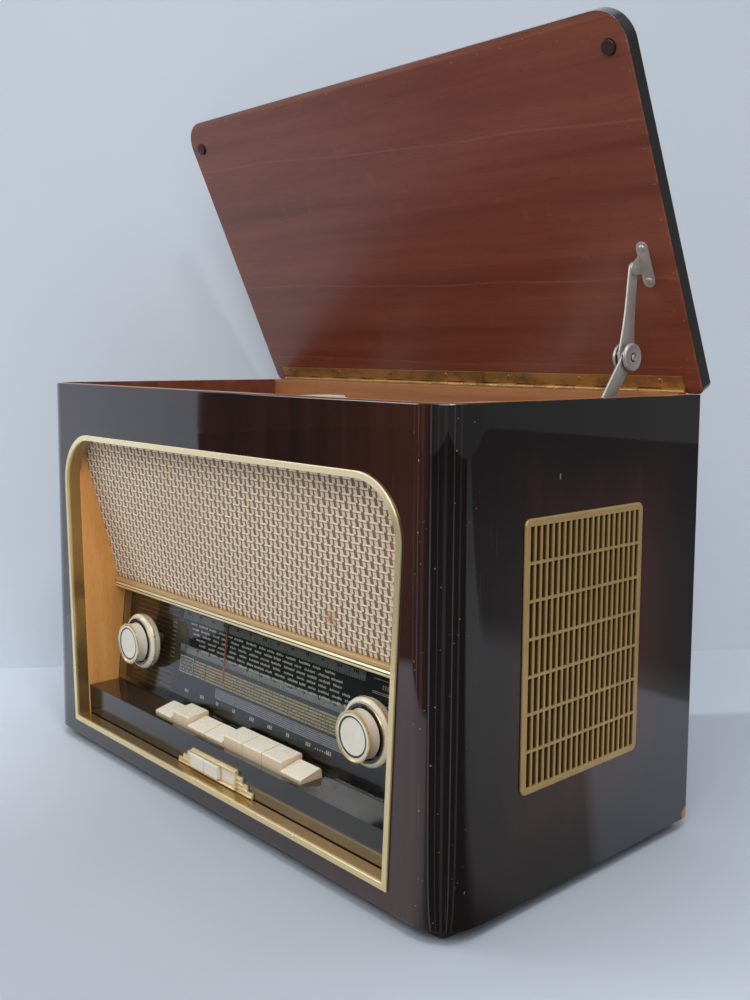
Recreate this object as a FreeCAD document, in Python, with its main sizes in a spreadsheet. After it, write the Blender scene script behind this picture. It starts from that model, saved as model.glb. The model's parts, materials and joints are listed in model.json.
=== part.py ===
import FreeCAD, Part
import math
import os

import Sketcher

# Table-top radio with a record player under a hinged lid, standing open.
# Frame: millimetres, X to the right, Y to the back, Z up, origin on the floor under the middle.

driving = {
    # Cabinet shell
    "cabinet_width": 630.0,
    "cabinet_depth": 320.0,
    "cabinet_height": 390.0,
    "corner_radius": 35.0,
    "corner_return": 5.0,
    "panel_wall": 9.0,
    "floor_thick": 10.0,
    "floor_corner_gap": 4.0,
    "foot_height": 10.0,
    "foot_side": 30.0,
    "foot_inset": 16.0,
    "foot_corner": 6.0,
    "rail_thick": 8.0,
    "rail_height": 48.0,
    "cover_thick": 3.0,
    "cover_inset": 3.0,
    "vent_width": 6.0,
    "vent_height": 70.0,
    "vent_pitch": 22.0,
    "vent_high": 150.0,
    # Front opening, heights above the underside of the cabinet
    "opening_low": 20.5,
    "opening_top_margin": 58.0,
    "opening_low_margin": 63.0,
    "opening_high_margin": 47.5,
    "opening_radius": 48.0,
    "trim_lap": 4.0,
    "trim_stand": 2.0,
    "flange_wall": 1.5,
    "flange_depth": 13.0,
    "fit_gap": 0.2,
    # Cheeks, cloth and bar inside the opening
    "cheek_wall": 7.0,
    "cheek_depth": 64.0,
    "cloth_top_setback": 12.9,
    "cloth_thick": 1.2,
    "cloth_tuck": 7.0,
    "cloth_radius": 44.0,
    "baffle_thick": 8.0,
    "bar_low": 159.5,
    "bar_height": 11.5,
    "bar_setback": 50.0,
    "bar_thick": 10.0,
    "bar_bead": 2.4,
    # Dial
    "dial_lean": 7.37,
    "dial_setback": 49.2,
    "dial_tuck": 5.1,
    "glass_thick": 3.0,
    "plate_gap": 8.0,
    "plate_thick": 1.2,
    "plate_lift": 2.6,
    "pointer_width": 1.6,
    "pointer_thick": 1.5,
    "pointer_margin": 12.0,
    "pointer_low": 38.0,
    "pointer_place": -60.0,
    "seat_gap": 0.3,
    # Apron under the dial
    "apron_setback": 14.0,
    "apron_high": 53.5,
    "apron_wall": 8.0,
    "apron_shelf": 5.0,
    "apron_depth": 40.0,
    # Piano keys
    "key_pitch": 30.5,
    "key_gap": 1.0,
    "key_setback": 23.5,
    "key_length": 23.5,
    "key_front_rise": 9.5,
    "key_back_rise": 12.5,
    "key_sink": 6.0,
    "key_corner": 1.5,
    "key_dip": 6.4,
    "key_clearance": 3.4,
    "pivot_setback": 82.0,
    "pivot_drop": 13.5,
    "lever_width": 6.0,
    "lever_half": 2.6,
    "lever_eye": 4.0,
    "key_shaft_radius": 2.0,
    "running_gap": 0.05,
    "switch_floor_drop": 9.0,
    "switch_wall": 2.0,
    "switch_block": 16.0,
    # Tone buttons and their stepped frame
    "button_width": 23.0,
    "button_height": 13.0,
    "button_pitch": 24.0,
    "button_length": 18.0,
    "button_stand": 2.0,
    "button_travel": 4.0,
    "button_corner": 1.2,
    "button_fit": 0.3,
    "frame_thick": 4.0,
    "frame_step": 8.0,
    "frame_rise": 5.0,
    "frame_top_half": 38.0,
    # Double knobs
    "knob_margin": 130.4,
    "knob_high": 112.2,
    "knob_setback": 25.0,
    "knob_radius": 21.75,
    "knob_waist": 20.5,
    "knob_length": 12.0,
    "knob_bevel": 1.5,
    "shaft_radius": 3.0,
    "ring_radius": 30.0,
    "ring_lip": 26.0,
    "ring_well": 22.5,
    "ring_length": 11.0,
    "ring_bevel": 3.0,
    "ring_well_depth": 3.5,
    "ring_space": 0.5,
    "sleeve_wall": 2.0,
    "sleeve_bite": 2.0,
    "glass_hole": 6.5,
    "pot_radius": 13.0,
    "pot_length": 20.0,
    "pot_bore_depth": 9.0,
    # Chassis and what stands on it
    "chassis_setback": 110.0,
    "chassis_side_gap": 90.0,
    "chassis_rear_gap": 42.0,
    "chassis_height": 60.0,
    "chassis_wall": 1.2,
    "chassis_front_height": 132.0,
    "core_width": 84.0,
    "core_depth": 60.0,
    "core_height": 70.0,
    "coil_margin": 12.0,
    "core_gap": 8.0,
    "valve_radius": 11.0,
    "valve_height": 66.0,
    "valve_dome": 9.0,
    "valve_gap": 6.0,
    "valve_setback": 56.0,
    "drum_gap": 32.6,
    "drum_high": 105.0,
    "drum_radius": 34.0,
    "drum_thick": 8.0,
    "drum_space": 4.0,
    "drum_groove": 2.5,
    "drum_shaft": 4.0,
    "drum_shaft_tail": 14.0,
    "socket_width": 150.0,
    "socket_height": 34.0,
    "socket_thick": 3.0,
    "socket_high": 30.0,
    "socket_pitch": 19.0,
    "socket_bore": 2.0,
    "inlet_side": 16.0,
    # Loudspeakers
    "speaker_flange": 65.0,
    "speaker_cone": 56.0,
    "speaker_plate": 4.0,
    "speaker_waist": 34.0,
    "speaker_basket": 40.0,
    "speaker_magnet": 38.0,
    "speaker_depth": 60.0,
    "speaker_dust": 13.0,
    "speaker_well": 20.0,
    "speaker_hole": 58.0,
    "side_speaker_high": 184.0,
    "speaker_drop": 12.6,
    # Side grilles
    "grille_width": 152.5,
    "grille_height": 215.0,
    "grille_high": 194.5,
    "grille_middle": 157.5,
    "grille_corner": 2.5,
    "grille_stand": 2.0,
    "grille_sink": 3.0,
    "grille_rim": 4.0,
    "grille_border": 6.0,
    "grille_slat": 2.2,
    "grille_bar": 2.2,
    "rebate_depth": 5.0,
    # Lid and hinge
    "lid_open": 65.0,
    "lid_overhang": 11.0,
    "lid_tail": 2.5,
    "lid_thick": 13.0,
    "lid_front_radius": 30.0,
    "lid_rear_radius": 7.0,
    "lid_lift": 1.5,
    "hinge_back": 4.5,
    "hinge_up": 1.5,
    "hinge_inset": 18.0,
    "leaf_width": 12.0,
    "leaf_thick": 1.0,
    "knuckle_radius": 2.6,
    "knuckle_gap": 0.4,
    "hinge_pin_radius": 1.1,
    "hinge_relief": 0.7,
    "buffer_radius": 6.5,
    "buffer_side": 19.0,
    "buffer_front": 30.0,
    "buffer_sink": 4.0,
    "buffer_stand": 2.4,
    # Lid stay
    "stay_side": 36.0,
    "stay_thick": 2.0,
    "stay_space": 0.4,
    "stay_along": 122.5,
    "stay_off": 9.0,
    "stay_pin": 2.5,
    "stay_eye": 6.0,
    "stay_neck": 8.0,
    "stay_disc": 12.5,
    "stay_disc_thick": 4.6,
    "stay_hub": 4.0,
    "stay_hub_stand": 1.0,
    "knuckle_forward": 66.0,
    "knuckle_up": 31.0,
    "anchor_forward": 101.7,
    "anchor_drop": 10.8,
    "anchor_post": 5.0,
    "anchor_plate": 2.5,
    "anchor_width": 24.0,
    "anchor_height": 20.0,
    "bracket_width": 12.0,
    "bracket_length": 42.0,
    "bracket_thick": 1.5,
    # Record player
    "board_drop": 60.0,
    "board_thick": 12.0,
    "board_lap": 10.0,
    "deck_width": 380.0,
    "deck_rear_gap": 21.0,
    "deck_place": -25.0,
    "deck_setback": 33.0,
    "deck_height": 10.0,
    "deck_corner": 14.0,
    "deck_wall": 3.0,
    "motor_radius": 40.0,
    "motor_height": 58.0,
    "motor_inset": 115.0,
    "motor_rear_gap": 94.0,
    "platter_inset": 155.0,
    "platter_radius": 125.0,
    "platter_height": 10.0,
    "platter_web": 3.0,
    "platter_rim": 6.0,
    "platter_hub": 18.0,
    "platter_skirt_gap": 1.0,
    "mat_radius": 120.0,
    "mat_thick": 3.0,
    "mat_bore": 6.0,
    "spindle_radius": 4.5,
    "spindle_stand": 10.0,
    "record_pin_radius": 3.55,
    "pin_neck_radius": 3.2,
    "pin_neck": 0.6,
    "pin_shoulder": 1.0,
    "spindle_collar": 12.0,
    "collar_height": 2.0,
    "arm_inset": 40.0,
    "arm_rear_gap": 75.0,
    "arm_pivot_high": 30.0,
    "arm_park": 3.2,
    "head_setback": 32.0,
    "arm_width": 16.0,
    "arm_top": 8.0,
    "arm_under": 6.0,
    "arm_tail": 34.0,
    "head_width": 24.0,
    "head_length": 46.0,
    "head_nose": 12.0,
    "head_top": 18.5,
    "head_under": 11.0,
    "arm_round": 5.0,
    "stylus_radius": 0.8,
    "stylus_drop": 1.8,
    "post_radius": 15.0,
    "post_collar": 18.0,
    "post_height": 16.5,
    "ear_thick": 3.0,
    "ear_gap": 0.5,
    "ear_depth": 16.0,
    "arm_pin": 2.0,
    "rest_radius": 6.0,
    "rest_reach": 120.0,
    "speed_inset": 25.0,
    "speed_setback": 52.0,
    "speed_radius": 12.0,
    "speed_thick": 4.0,
    "speed_arm": 30.0,
    "speed_arm_width": 7.0,
    "speed_knob_radius": 5.0,
    "speed_knob_height": 10.0,
}

KEY_COUNT = 8
PRESSED_KEYS = (1, 3, 4, 8)
BUTTON_COUNT = 3
PRESSED_BUTTONS = (3,)
GRILLE_COLUMNS = 20
GRILLE_ROWS = 7
HINGE_PAIRS = 12
VALVE_COUNT = 5
VENT_COUNT = 12
SOCKET_COUNT = 4
FRAME_STEPS = 4
NODE_LIMIT = 60

doc = FreeCAD.newDocument("PhonoRadio")
sheet = doc.addObject("Spreadsheet::Sheet", "Dims")


class Size:
    """A length or angle known both as a number and as an expression on the sheet."""

    def __init__(self, value, text):
        self.value = float(value)
        self.text = text

    def __add__(self, other):
        other = size(other)
        return Size(self.value + other.value, f"({self.text} + {other.text})")

    def __radd__(self, other):
        return size(other) + self

    def __sub__(self, other):
        other = size(other)
        return Size(self.value - other.value, f"({self.text} - {other.text})")

    def __rsub__(self, other):
        return size(other) - self

    def __mul__(self, other):
        other = size(other)
        return Size(self.value * other.value, f"({self.text} * {other.text})")

    def __rmul__(self, other):
        return size(other) * self

    def __truediv__(self, other):
        other = size(other)
        return Size(self.value / other.value, f"({self.text} / {other.text})")

    def __neg__(self):
        return Size(-self.value, f"(0 - {self.text})")


def size(value):
    return value if isinstance(value, Size) else Size(value, repr(float(value)))


def sine(angle):
    return Size(math.sin(math.radians(angle.value)), f"sin({angle.text})")


def cosine(angle):
    return Size(math.cos(math.radians(angle.value)), f"cos({angle.text})")


def root(value):
    return Size(math.sqrt(value.value), f"sqrt({value.text})")


def bearing(rise, run):
    """The angle of a line, in degrees, from its rise and its run."""
    return Size(math.degrees(math.atan2(rise.value, run.value)), f"atan2({rise.text}; {run.text})")


class Dimensions:
    """The driving dimensions as sizes, one attribute each."""

    def __init__(self, values):
        for row, (name, value) in enumerate(values.items(), start=1):
            sheet.set(f"A{row}", name)
            sheet.set(f"B{row}", repr(value))
            sheet.setAlias(f"B{row}", name)
            setattr(self, name, Size(value, f"Dims.{name}"))


d = Dimensions(driving)
doc.recompute()

X_AXIS = FreeCAD.Vector(1, 0, 0)
Y_AXIS = FreeCAD.Vector(0, 1, 0)
Z_AXIS = FreeCAD.Vector(0, 0, 1)
TURN_TO_X = FreeCAD.Rotation(Y_AXIS, 90)
TURN_TO_Y = FreeCAD.Rotation(X_AXIS, -90)
FULL_TURN = 360.0

nodes = []


def node(label, item):
    """Registers an object as a finished sub-part."""
    item.Label = label
    nodes.append(item)
    return item


# Placing and binding


def bind(item, **sizes):
    for name, value in sizes.items():
        item.setExpression(name, size(value).text)


def place(item, at, axis=None, angle=None):
    if axis is not None:
        item.Placement = FreeCAD.Placement(FreeCAD.Vector(), FreeCAD.Rotation(axis, size(angle).value))
        item.setExpression("Placement.Rotation.Angle", size(angle).text)
    for letter, value in zip("xyz", at):
        item.setExpression(f"Placement.Base.{letter}", size(value).text)


# Solids from primitives


def box(name, low, high):
    item = doc.addObject("Part::Box", name)
    spans = [size(b) - size(a) for a, b in zip(low, high)]
    bind(item, Length=spans[0], Width=spans[1], Height=spans[2])
    place(item, low)
    return item


def cylinder(name, start, radius, length, turn=None):
    item = doc.addObject("Part::Cylinder", name)
    bind(item, Radius=radius, Height=length)
    if turn is not None:
        item.Placement = FreeCAD.Placement(FreeCAD.Vector(), turn)
    place(item, start)
    return item


def fuse(name, *items):
    item = doc.addObject("Part::MultiFuse", name)
    item.Shapes = list(items)
    item.Refine = True
    return item


def cut(name, base, *tools):
    item = doc.addObject("Part::Cut", name)
    item.Base = base
    item.Tool = tools[0] if len(tools) == 1 else group(name + "Tools", *tools)
    return item


def group(name, *items):
    item = doc.addObject("Part::Compound", name)
    item.Links = list(items)
    return item


# Sketches and features


def new_body(name):
    return doc.addObject("PartDesign::Body", name)


def origin_plane(body, role):
    return next(feature for feature in body.Origin.OriginFeatures if feature.Role == role)


def sketch(body, role, loops, shift=None):
    """A sketch on one of the body's planes; each loop is a list of corners or one circle."""
    item = body.newObject("Sketcher::SketchObject", body.Name + "Sketch")
    item.AttachmentSupport = [(origin_plane(body, role), "")]
    item.MapMode = "FlatFace"
    if shift is not None:
        item.setExpression("AttachmentOffset.Base.z", size(shift).text)
    for loop in loops:
        if isinstance(loop, tuple):
            draw_circle(item, *loop)
        else:
            draw_outline(item, loop)
    return item


def add_sized(item, constraint, value, label):
    index = item.addConstraint(constraint)
    name = f"{label}{index}"
    item.renameConstraint(index, name)
    item.setExpression(f"Constraints.{name}", size(value).text)


def pin_point(item, geometry, position, u, v):
    add_sized(item, Sketcher.Constraint("DistanceX", -1, 1, geometry, position, size(u).value), u, "across")
    add_sized(item, Sketcher.Constraint("DistanceY", -1, 1, geometry, position, size(v).value), v, "along")


def draw_circle(item, u, v, radius):
    centre = FreeCAD.Vector(size(u).value, size(v).value, 0)
    index = item.addGeometry(Part.Circle(centre, Z_AXIS, size(radius).value))
    add_sized(item, Sketcher.Constraint("Radius", index, size(radius).value), radius, "radius")
    pin_point(item, index, 3, u, v)


def corner_arc(before, corner, after, radius):
    """The rounding of one corner: its arc, where it starts and ends, and whether it turns left."""
    back = (before - corner).normalize()
    ahead = (after - corner).normalize()
    half = back.getAngle(ahead) / 2
    reach = radius / math.tan(half)
    entry = corner + back * reach
    leave = corner + ahead * reach
    middle = corner + (back + ahead).normalize() * (radius / math.sin(half))
    left = ahead.cross(back).z > 0
    first, last = (entry, leave) if left else (leave, entry)
    start_angle = math.atan2(first.y - middle.y, first.x - middle.x)
    end_angle = math.atan2(last.y - middle.y, last.x - middle.x)
    arc = Part.ArcOfCircle(Part.Circle(middle, Z_AXIS, radius), start_angle, end_angle)
    return arc, entry, leave, left


def draw_outline(item, corners):
    """A closed outline through corners (u, v) or (u, v, radius), bound corner by corner."""
    points = [FreeCAD.Vector(size(c[0]).value, size(c[1]).value, 0) for c in corners]
    radii = [size(c[2]) if len(c) > 2 else None for c in corners]
    count = len(corners)
    starts, ends, arcs = list(points), list(points), {}
    for i, radius in enumerate(radii):
        if radius is not None:
            arcs[i] = corner_arc(points[i - 1], points[i], points[(i + 1) % count], radius.value)
            ends[i], starts[i] = arcs[i][1], arcs[i][2]
    lines = [
        item.addGeometry(Part.LineSegment(starts[i], ends[(i + 1) % count])) for i in range(count)
    ]
    for i, corner in enumerate(corners):
        before, after = lines[i - 1], lines[i]
        if i not in arcs:
            item.addConstraint(Sketcher.Constraint("Coincident", before, 2, after, 1))
            pin_point(item, after, 1, corner[0], corner[1])
            continue
        arc, _, _, left = arcs[i]
        index = item.addGeometry(arc)
        entry_end, leave_end = (1, 2) if left else (2, 1)
        item.addConstraint(Sketcher.Constraint("Tangent", before, 2, index, entry_end))
        item.addConstraint(Sketcher.Constraint("Tangent", index, leave_end, after, 1))
        sharp = item.addGeometry(Part.Point(points[i]), True)
        item.addConstraint(Sketcher.Constraint("PointOnObject", sharp, 1, before))
        item.addConstraint(Sketcher.Constraint("PointOnObject", sharp, 1, after))
        pin_point(item, sharp, 1, corner[0], corner[1])
        add_sized(item, Sketcher.Constraint("Radius", index, radii[i].value), radii[i], "radius")


def pad(body, profile, length, symmetric=False, reverse=False):
    item = body.newObject("PartDesign::Pad", body.Name + "Pad")
    item.Profile = profile
    item.SideType = "Symmetric" if symmetric else "One side"
    item.Reversed = reverse
    bind(item, Length=length)
    return item


def pocket(body, profile, length=None, reverse=False):
    """A cut of the given depth, or right through both ways where no depth is given."""
    item = body.newObject("PartDesign::Pocket", body.Name + "Pocket")
    item.Profile = profile
    if length is None:
        item.Type = "ThroughAll"
        item.SideType = "Symmetric"
    else:
        item.Reversed = reverse
        bind(item, Length=length)
    return item


def revolve(body, profile):
    item = body.newObject("PartDesign::Revolution", body.Name + "Turn")
    item.Profile = profile
    item.ReferenceAxis = (profile, ["V_Axis"])
    item.Angle = FULL_TURN
    return item


def rectangle(left, right, low, high, radius=None):
    corners = [(left, low), (right, low), (right, high), (left, high)]
    return corners if radius is None else [(u, v, radius) for u, v in corners]


# Shared places

base = d.foot_height
top = base + d.cabinet_height
half_width = d.cabinet_width / 2
inner_half = half_width - d.panel_wall
floor_top = base + d.floor_thick

# Open lid: how far its lower edge stands out behind the cabinet
rear_reach = (
    d.hinge_back
    + d.lid_tail * cosine(d.lid_open)
    + (d.lid_lift + d.lid_thick) * sine(d.lid_open)
)
front = (d.trim_stand - d.cabinet_depth - rear_reach) / 2
back = front + d.cabinet_depth
inner_front = front + d.panel_wall
rail_front = back - d.rail_thick
apron_top = base + d.apron_high

opening_high = d.cabinet_height - d.opening_top_margin
opening_low_half = half_width - d.opening_low_margin
opening_high_half = half_width - d.opening_high_margin
opening_slope = (opening_high_half - opening_low_half) / (opening_high - d.opening_low)
opening_stretch = root(1 + opening_slope * opening_slope)


def behind(setback):
    return front + setback


def opening_half(height):
    """Half the opening's width at a height above the floor."""
    return opening_low_half + opening_slope * (height - base - d.opening_low)


def opening_outline(grow):
    """The front opening grown outwards all round: a tapered outline with round upper corners."""
    grow = size(grow)
    low = base + d.opening_low - grow
    high = base + opening_high + grow
    widen = opening_stretch * grow
    low_half = opening_half(low) + widen
    high_half = opening_half(high) + widen
    radius = d.opening_radius + grow
    return [(-low_half, low), (low_half, low), (high_half, high, radius), (-high_half, high, radius)]


# Cabinet shell


def make_front_panel():
    body = new_body("FrontPanel")
    rear = front + d.corner_radius + d.corner_return
    inner_radius = d.corner_radius - d.panel_wall
    plan = [
        (-half_width, rear),
        (-half_width, front, d.corner_radius),
        (half_width, front, d.corner_radius),
        (half_width, rear),
        (inner_half, rear),
        (inner_half, inner_front, inner_radius),
        (-inner_half, inner_front, inner_radius),
        (-inner_half, rear),
    ]
    pad(body, sketch(body, "XY_Plane", [plan], base), d.cabinet_height)
    pocket(body, sketch(body, "XZ_Plane", [opening_outline(0)]))
    node("front_panel", body)


grille_y = behind(d.grille_middle)
grille_z = base + d.grille_high
side_speaker_z = base + d.side_speaker_high


def grille_rectangle(shrink, radius):
    across = d.grille_width / 2 - shrink
    upward = d.grille_height / 2 - shrink
    return rectangle(grille_y - across, grille_y + across, grille_z - upward, grille_z + upward, radius)


def make_side_panel(label, outer, sign):
    """A flat side: round speaker hole, and a shallow rebate outside for the grille."""
    body = new_body(label.title().replace("_", ""))
    start = outer - d.panel_wall if sign > 0 else outer
    face = rectangle(front + d.corner_radius + d.corner_return, back, base, top)
    pad(body, sketch(body, "YZ_Plane", [face], start), d.panel_wall)
    rebate = grille_rectangle(d.grille_rim - d.fit_gap, d.grille_corner)
    pocket(body, sketch(body, "YZ_Plane", [rebate], outer), d.rebate_depth, reverse=sign < 0)
    pocket(body, sketch(body, "YZ_Plane", [(grille_y, side_speaker_z, d.speaker_hole)]))
    node(label, body)


def make_floor():
    body = new_body("BottomBoard")
    radius = d.corner_radius - d.panel_wall + d.floor_corner_gap
    plan = [
        (-inner_half, inner_front, radius),
        (inner_half, inner_front, radius),
        (inner_half, back),
        (-inner_half, back),
    ]
    pad(body, sketch(body, "XY_Plane", [plan], base), d.floor_thick)
    node("bottom_board", body)


def make_feet():
    feet = []
    across = half_width - d.foot_inset - d.foot_side / 2
    near = front + d.foot_inset + d.foot_side / 2
    far = back - d.foot_inset - d.foot_side / 2
    reach = d.foot_side / 2
    for i, (x, y) in enumerate([(-across, near), (across, near), (across, far), (-across, far)]):
        body = new_body(f"Foot{i}")
        plan = rectangle(x - reach, x + reach, y - reach, y + reach, d.foot_corner)
        pad(body, sketch(body, "XY_Plane", [plan]), d.foot_height)
        feet.append(body)
    node("feet", group("Feet", *feet))


rail_low = top - d.rail_height
cover_front = back - d.cover_inset - d.cover_thick
cover_back = back - d.cover_inset
socket_low = base + d.socket_high
socket_half = d.socket_width / 2


def make_rear():
    """The top rail that carries the hinge, and the vented cover below it."""
    node("rear_rail", box("RearRail", (-inner_half, rail_front, rail_low), (inner_half, back, top)))
    sheet_board = box("CoverSheet", (-inner_half, cover_front, floor_top), (inner_half, cover_back, rail_low))
    holes = []
    first = -d.vent_pitch * (VENT_COUNT - 1) / 2
    vent_low = base + d.vent_high
    for i in range(VENT_COUNT):
        x = first + d.vent_pitch * i
        low = (x - d.vent_width / 2, cover_front, vent_low)
        high = (x + d.vent_width / 2, cover_back, vent_low + d.vent_height)
        holes.append(box(f"Vent{i}", low, high))
    holes.append(
        box(
            "SocketWindow",
            (-socket_half, cover_front, socket_low),
            (socket_half, cover_back, socket_low + d.socket_height),
        )
    )
    node("back_cover", cut("BackCover", sheet_board, *holes))


# Front opening: gilt trim, cheeks, cloth and bar


def make_opening_trim():
    body = new_body("OpeningTrim")
    inside = opening_outline(-d.flange_wall - d.fit_gap)
    bead = sketch(body, "XZ_Plane", [opening_outline(d.trim_lap), inside], -front)
    pad(body, bead, d.trim_stand)
    flange = sketch(body, "XZ_Plane", [opening_outline(-d.fit_gap), inside], -front)
    pad(body, flange, d.flange_depth, reverse=True)
    node("opening_trim", body)


inset = d.flange_wall + d.fit_gap
cheek_start = behind(d.flange_depth)
board_top = top - d.board_drop
board_low = board_top - d.board_thick
bar_low = base + d.bar_low
bar_top = bar_low + d.bar_height
cloth_set = d.bar_setback + d.bar_thick / 2
cloth_rise = opening_high + d.cloth_tuck - d.bar_low - d.bar_height
cloth_run = cloth_set - d.cloth_top_setback
cloth_slant = root(cloth_rise * cloth_rise + cloth_run * cloth_run)
cloth_sin = cloth_run / cloth_slant
cloth_cos = cloth_rise / cloth_slant


def cloth_y(height):
    """Where the cloth's front face stands at a height above the floor."""
    return behind(cloth_set) - (height - bar_top) * cloth_run / cloth_rise


cloth_top = bar_top + cloth_rise
baffle_rear_step = (d.cloth_thick + d.baffle_thick) / cloth_cos
board_front = cloth_y(board_low) + baffle_rear_step + d.seat_gap


def clear_half(height):
    """Half the clear width between the cheeks at a height above the floor."""
    return opening_half(height) - inset


def make_cheeks():
    """Lacquered side boards of the recess, cut back at the top to clear the player's board."""
    cheeks = []
    for label, sign in (("Left", -1), ("Right", 1)):
        body = new_body(f"Cheek{label}")
        low, high = floor_top, cloth_top
        face = [
            (clear_half(low) * sign, low),
            ((clear_half(low) + d.cheek_wall) * sign, low),
            ((clear_half(high) + d.cheek_wall) * sign, high),
            (clear_half(high) * sign, high),
        ]
        pad(body, sketch(body, "XZ_Plane", [face], -cheek_start), d.cheek_depth, reverse=True)
        notch = rectangle(
            board_front - d.seat_gap,
            behind(d.flange_depth + d.cheek_depth) + d.seat_gap,
            board_low - d.seat_gap,
            cloth_top + d.seat_gap,
        )
        pocket(body, sketch(body, "YZ_Plane", [notch]))
        cheeks.append(body)
    node("cheeks", group("Cheeks", *cheeks))


def cloth_outline(gap):
    """The cloth's trapezium on its own slope, measured up from the bar."""
    low_half = clear_half(bar_top) - gap
    high_half = clear_half(cloth_top) - gap
    return [
        (-low_half, 0),
        (low_half, 0),
        (high_half, cloth_slant, d.cloth_radius),
        (-high_half, cloth_slant, d.cloth_radius),
    ]


QUARTER_TURN = 90.0
speaker_up = cloth_slant / 2 - d.speaker_drop


def lay_on_cloth(body):
    place(body, (0, behind(cloth_set), bar_top), X_AXIS, bearing(cloth_rise, -cloth_run))


def make_cloth():
    """Speaker cloth on its board, leaning forward at the top."""
    cloth = new_body("SpeakerCloth")
    pad(cloth, sketch(cloth, "XY_Plane", [cloth_outline(d.seat_gap)], -d.cloth_thick), d.cloth_thick)
    lay_on_cloth(cloth)
    node("speaker_cloth", cloth)
    board = new_body("BaffleBoard")
    rear = -d.cloth_thick - d.baffle_thick
    loops = [cloth_outline(d.seat_gap), (0, speaker_up, d.speaker_hole)]
    pad(board, sketch(board, "XY_Plane", loops, rear), d.baffle_thick)
    lay_on_cloth(board)
    node("baffle_board", board)


def make_bar():
    """Double-beaded bar between the cloth and the dial."""
    body = new_body("ClothBar")
    near = behind(d.bar_setback)
    far = near + d.bar_thick
    waist = bar_low + d.bar_height / 2
    notch = d.bar_bead / 2
    section = [
        (far, bar_low),
        (near, bar_low, d.bar_bead),
        (near, waist - notch),
        (near + notch, waist),
        (near, waist + notch),
        (near, bar_top, d.bar_bead),
        (far - d.bar_thick / 2, bar_top),
        (far, bar_top - d.bar_height / 2),
    ]
    length = clear_half(bar_low) * 2 - d.seat_gap * 2
    pad(body, sketch(body, "YZ_Plane", [section]), length, symmetric=True)
    node("cloth_bar", body)


# Dial: glass, back plate and pointer

dial_cos = cosine(d.dial_lean)
dial_tilt = QUARTER_TURN - d.dial_lean
knob_z = base + d.knob_high
plate_front = d.glass_thick + d.plate_gap
dial_sin = sine(d.dial_lean)
knob_place = half_width - d.knob_margin
dial_length = (bar_low - apron_top) / dial_cos + d.dial_tuck


def shaft_holes(depth):
    """Holes for the level knob shafts in a leaning sheet, at its depth behind the dial's face."""
    along = (knob_z - apron_top + depth * dial_sin) / dial_cos
    return [(sign * knob_place, along, d.glass_hole) for sign in (-1, 1)]


def dial_outline(lift):
    """The dial between the cheeks, measured up its slope from the apron."""
    low_half = clear_half(apron_top) - d.seat_gap
    high_half = clear_half(apron_top + dial_length * dial_cos) - d.seat_gap
    return [(-low_half, lift), (low_half, lift), (high_half, dial_length), (-high_half, dial_length)]


def lay_on_dial(body, across=0):
    place(body, (across, behind(d.dial_setback), apron_top), X_AXIS, dial_tilt)


def make_dial():
    face = dial_outline(d.glass_thick * dial_sin / dial_cos)
    holes = shaft_holes(d.glass_thick / 2)
    glass = new_body("DialGlass")
    pad(glass, sketch(glass, "XY_Plane", [face] + holes, -d.glass_thick), d.glass_thick)
    lay_on_dial(glass)
    node("dial_glass", glass)
    plate = new_body("DialPlate")
    lifted = dial_outline(d.plate_lift)
    depth = plate_front + d.plate_thick
    holes = shaft_holes(depth - d.plate_thick / 2)
    pad(plate, sketch(plate, "XY_Plane", [lifted] + holes, -depth), d.plate_thick)
    lay_on_dial(plate)
    node("dial_plate", plate)
    pointer = new_body("DialPointer")
    reach = d.pointer_width / 2
    needle = rectangle(-reach, reach, d.pointer_low, dial_length - d.pointer_margin)
    rear = -(plate_front - d.seat_gap)
    pad(pointer, sketch(pointer, "XY_Plane", [needle], rear), d.pointer_thick)
    lay_on_dial(pointer, d.pointer_place)
    node("dial_pointer", pointer)


# Apron, keys and tone buttons

apron_front = behind(d.apron_setback)
keys_half = d.key_pitch * KEY_COUNT / 2
frame_low = base + d.opening_low + inset
frame_high = frame_low + d.frame_rise * FRAME_STEPS
button_z = (frame_low + frame_high) / 2


def button_x(number):
    return d.button_pitch * (number - (BUTTON_COUNT + 1) / 2)


def button_window(number, gap):
    x = button_x(number)
    across = d.button_width / 2 + gap
    upward = d.button_height / 2 + gap
    return rectangle(x - across, x + across, button_z - upward, button_z + upward, d.button_corner)


def make_apron():
    """Black shelf under the dial: a front board and a top with the key slot."""
    body = new_body("Apron")
    shelf_back = apron_front + d.apron_depth
    shelf_low = apron_top - d.apron_shelf
    wall_back = apron_front + d.apron_wall
    low_half = clear_half(floor_top) - d.seat_gap
    high_half = clear_half(apron_top) - d.seat_gap
    face = [
        (-low_half, floor_top),
        (low_half, floor_top),
        (high_half, apron_top),
        (-high_half, apron_top),
    ]
    pad(body, sketch(body, "XZ_Plane", [face], -apron_front), d.apron_depth, reverse=True)
    under = rectangle(wall_back, shelf_back + d.seat_gap, floor_top - d.seat_gap, shelf_low)
    pocket(body, sketch(body, "YZ_Plane", [under]))
    slot = rectangle(
        -keys_half - d.key_gap,
        keys_half + d.key_gap,
        behind(d.key_setback) - d.key_clearance,
        behind(d.key_setback) + d.key_length + d.key_gap,
    )
    pocket(body, sketch(body, "XY_Plane", [slot], apron_top), d.apron_shelf)
    windows = [button_window(i, d.button_fit) for i in range(1, BUTTON_COUNT + 1)]
    pocket(body, sketch(body, "XZ_Plane", windows))
    node("apron", body)


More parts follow.
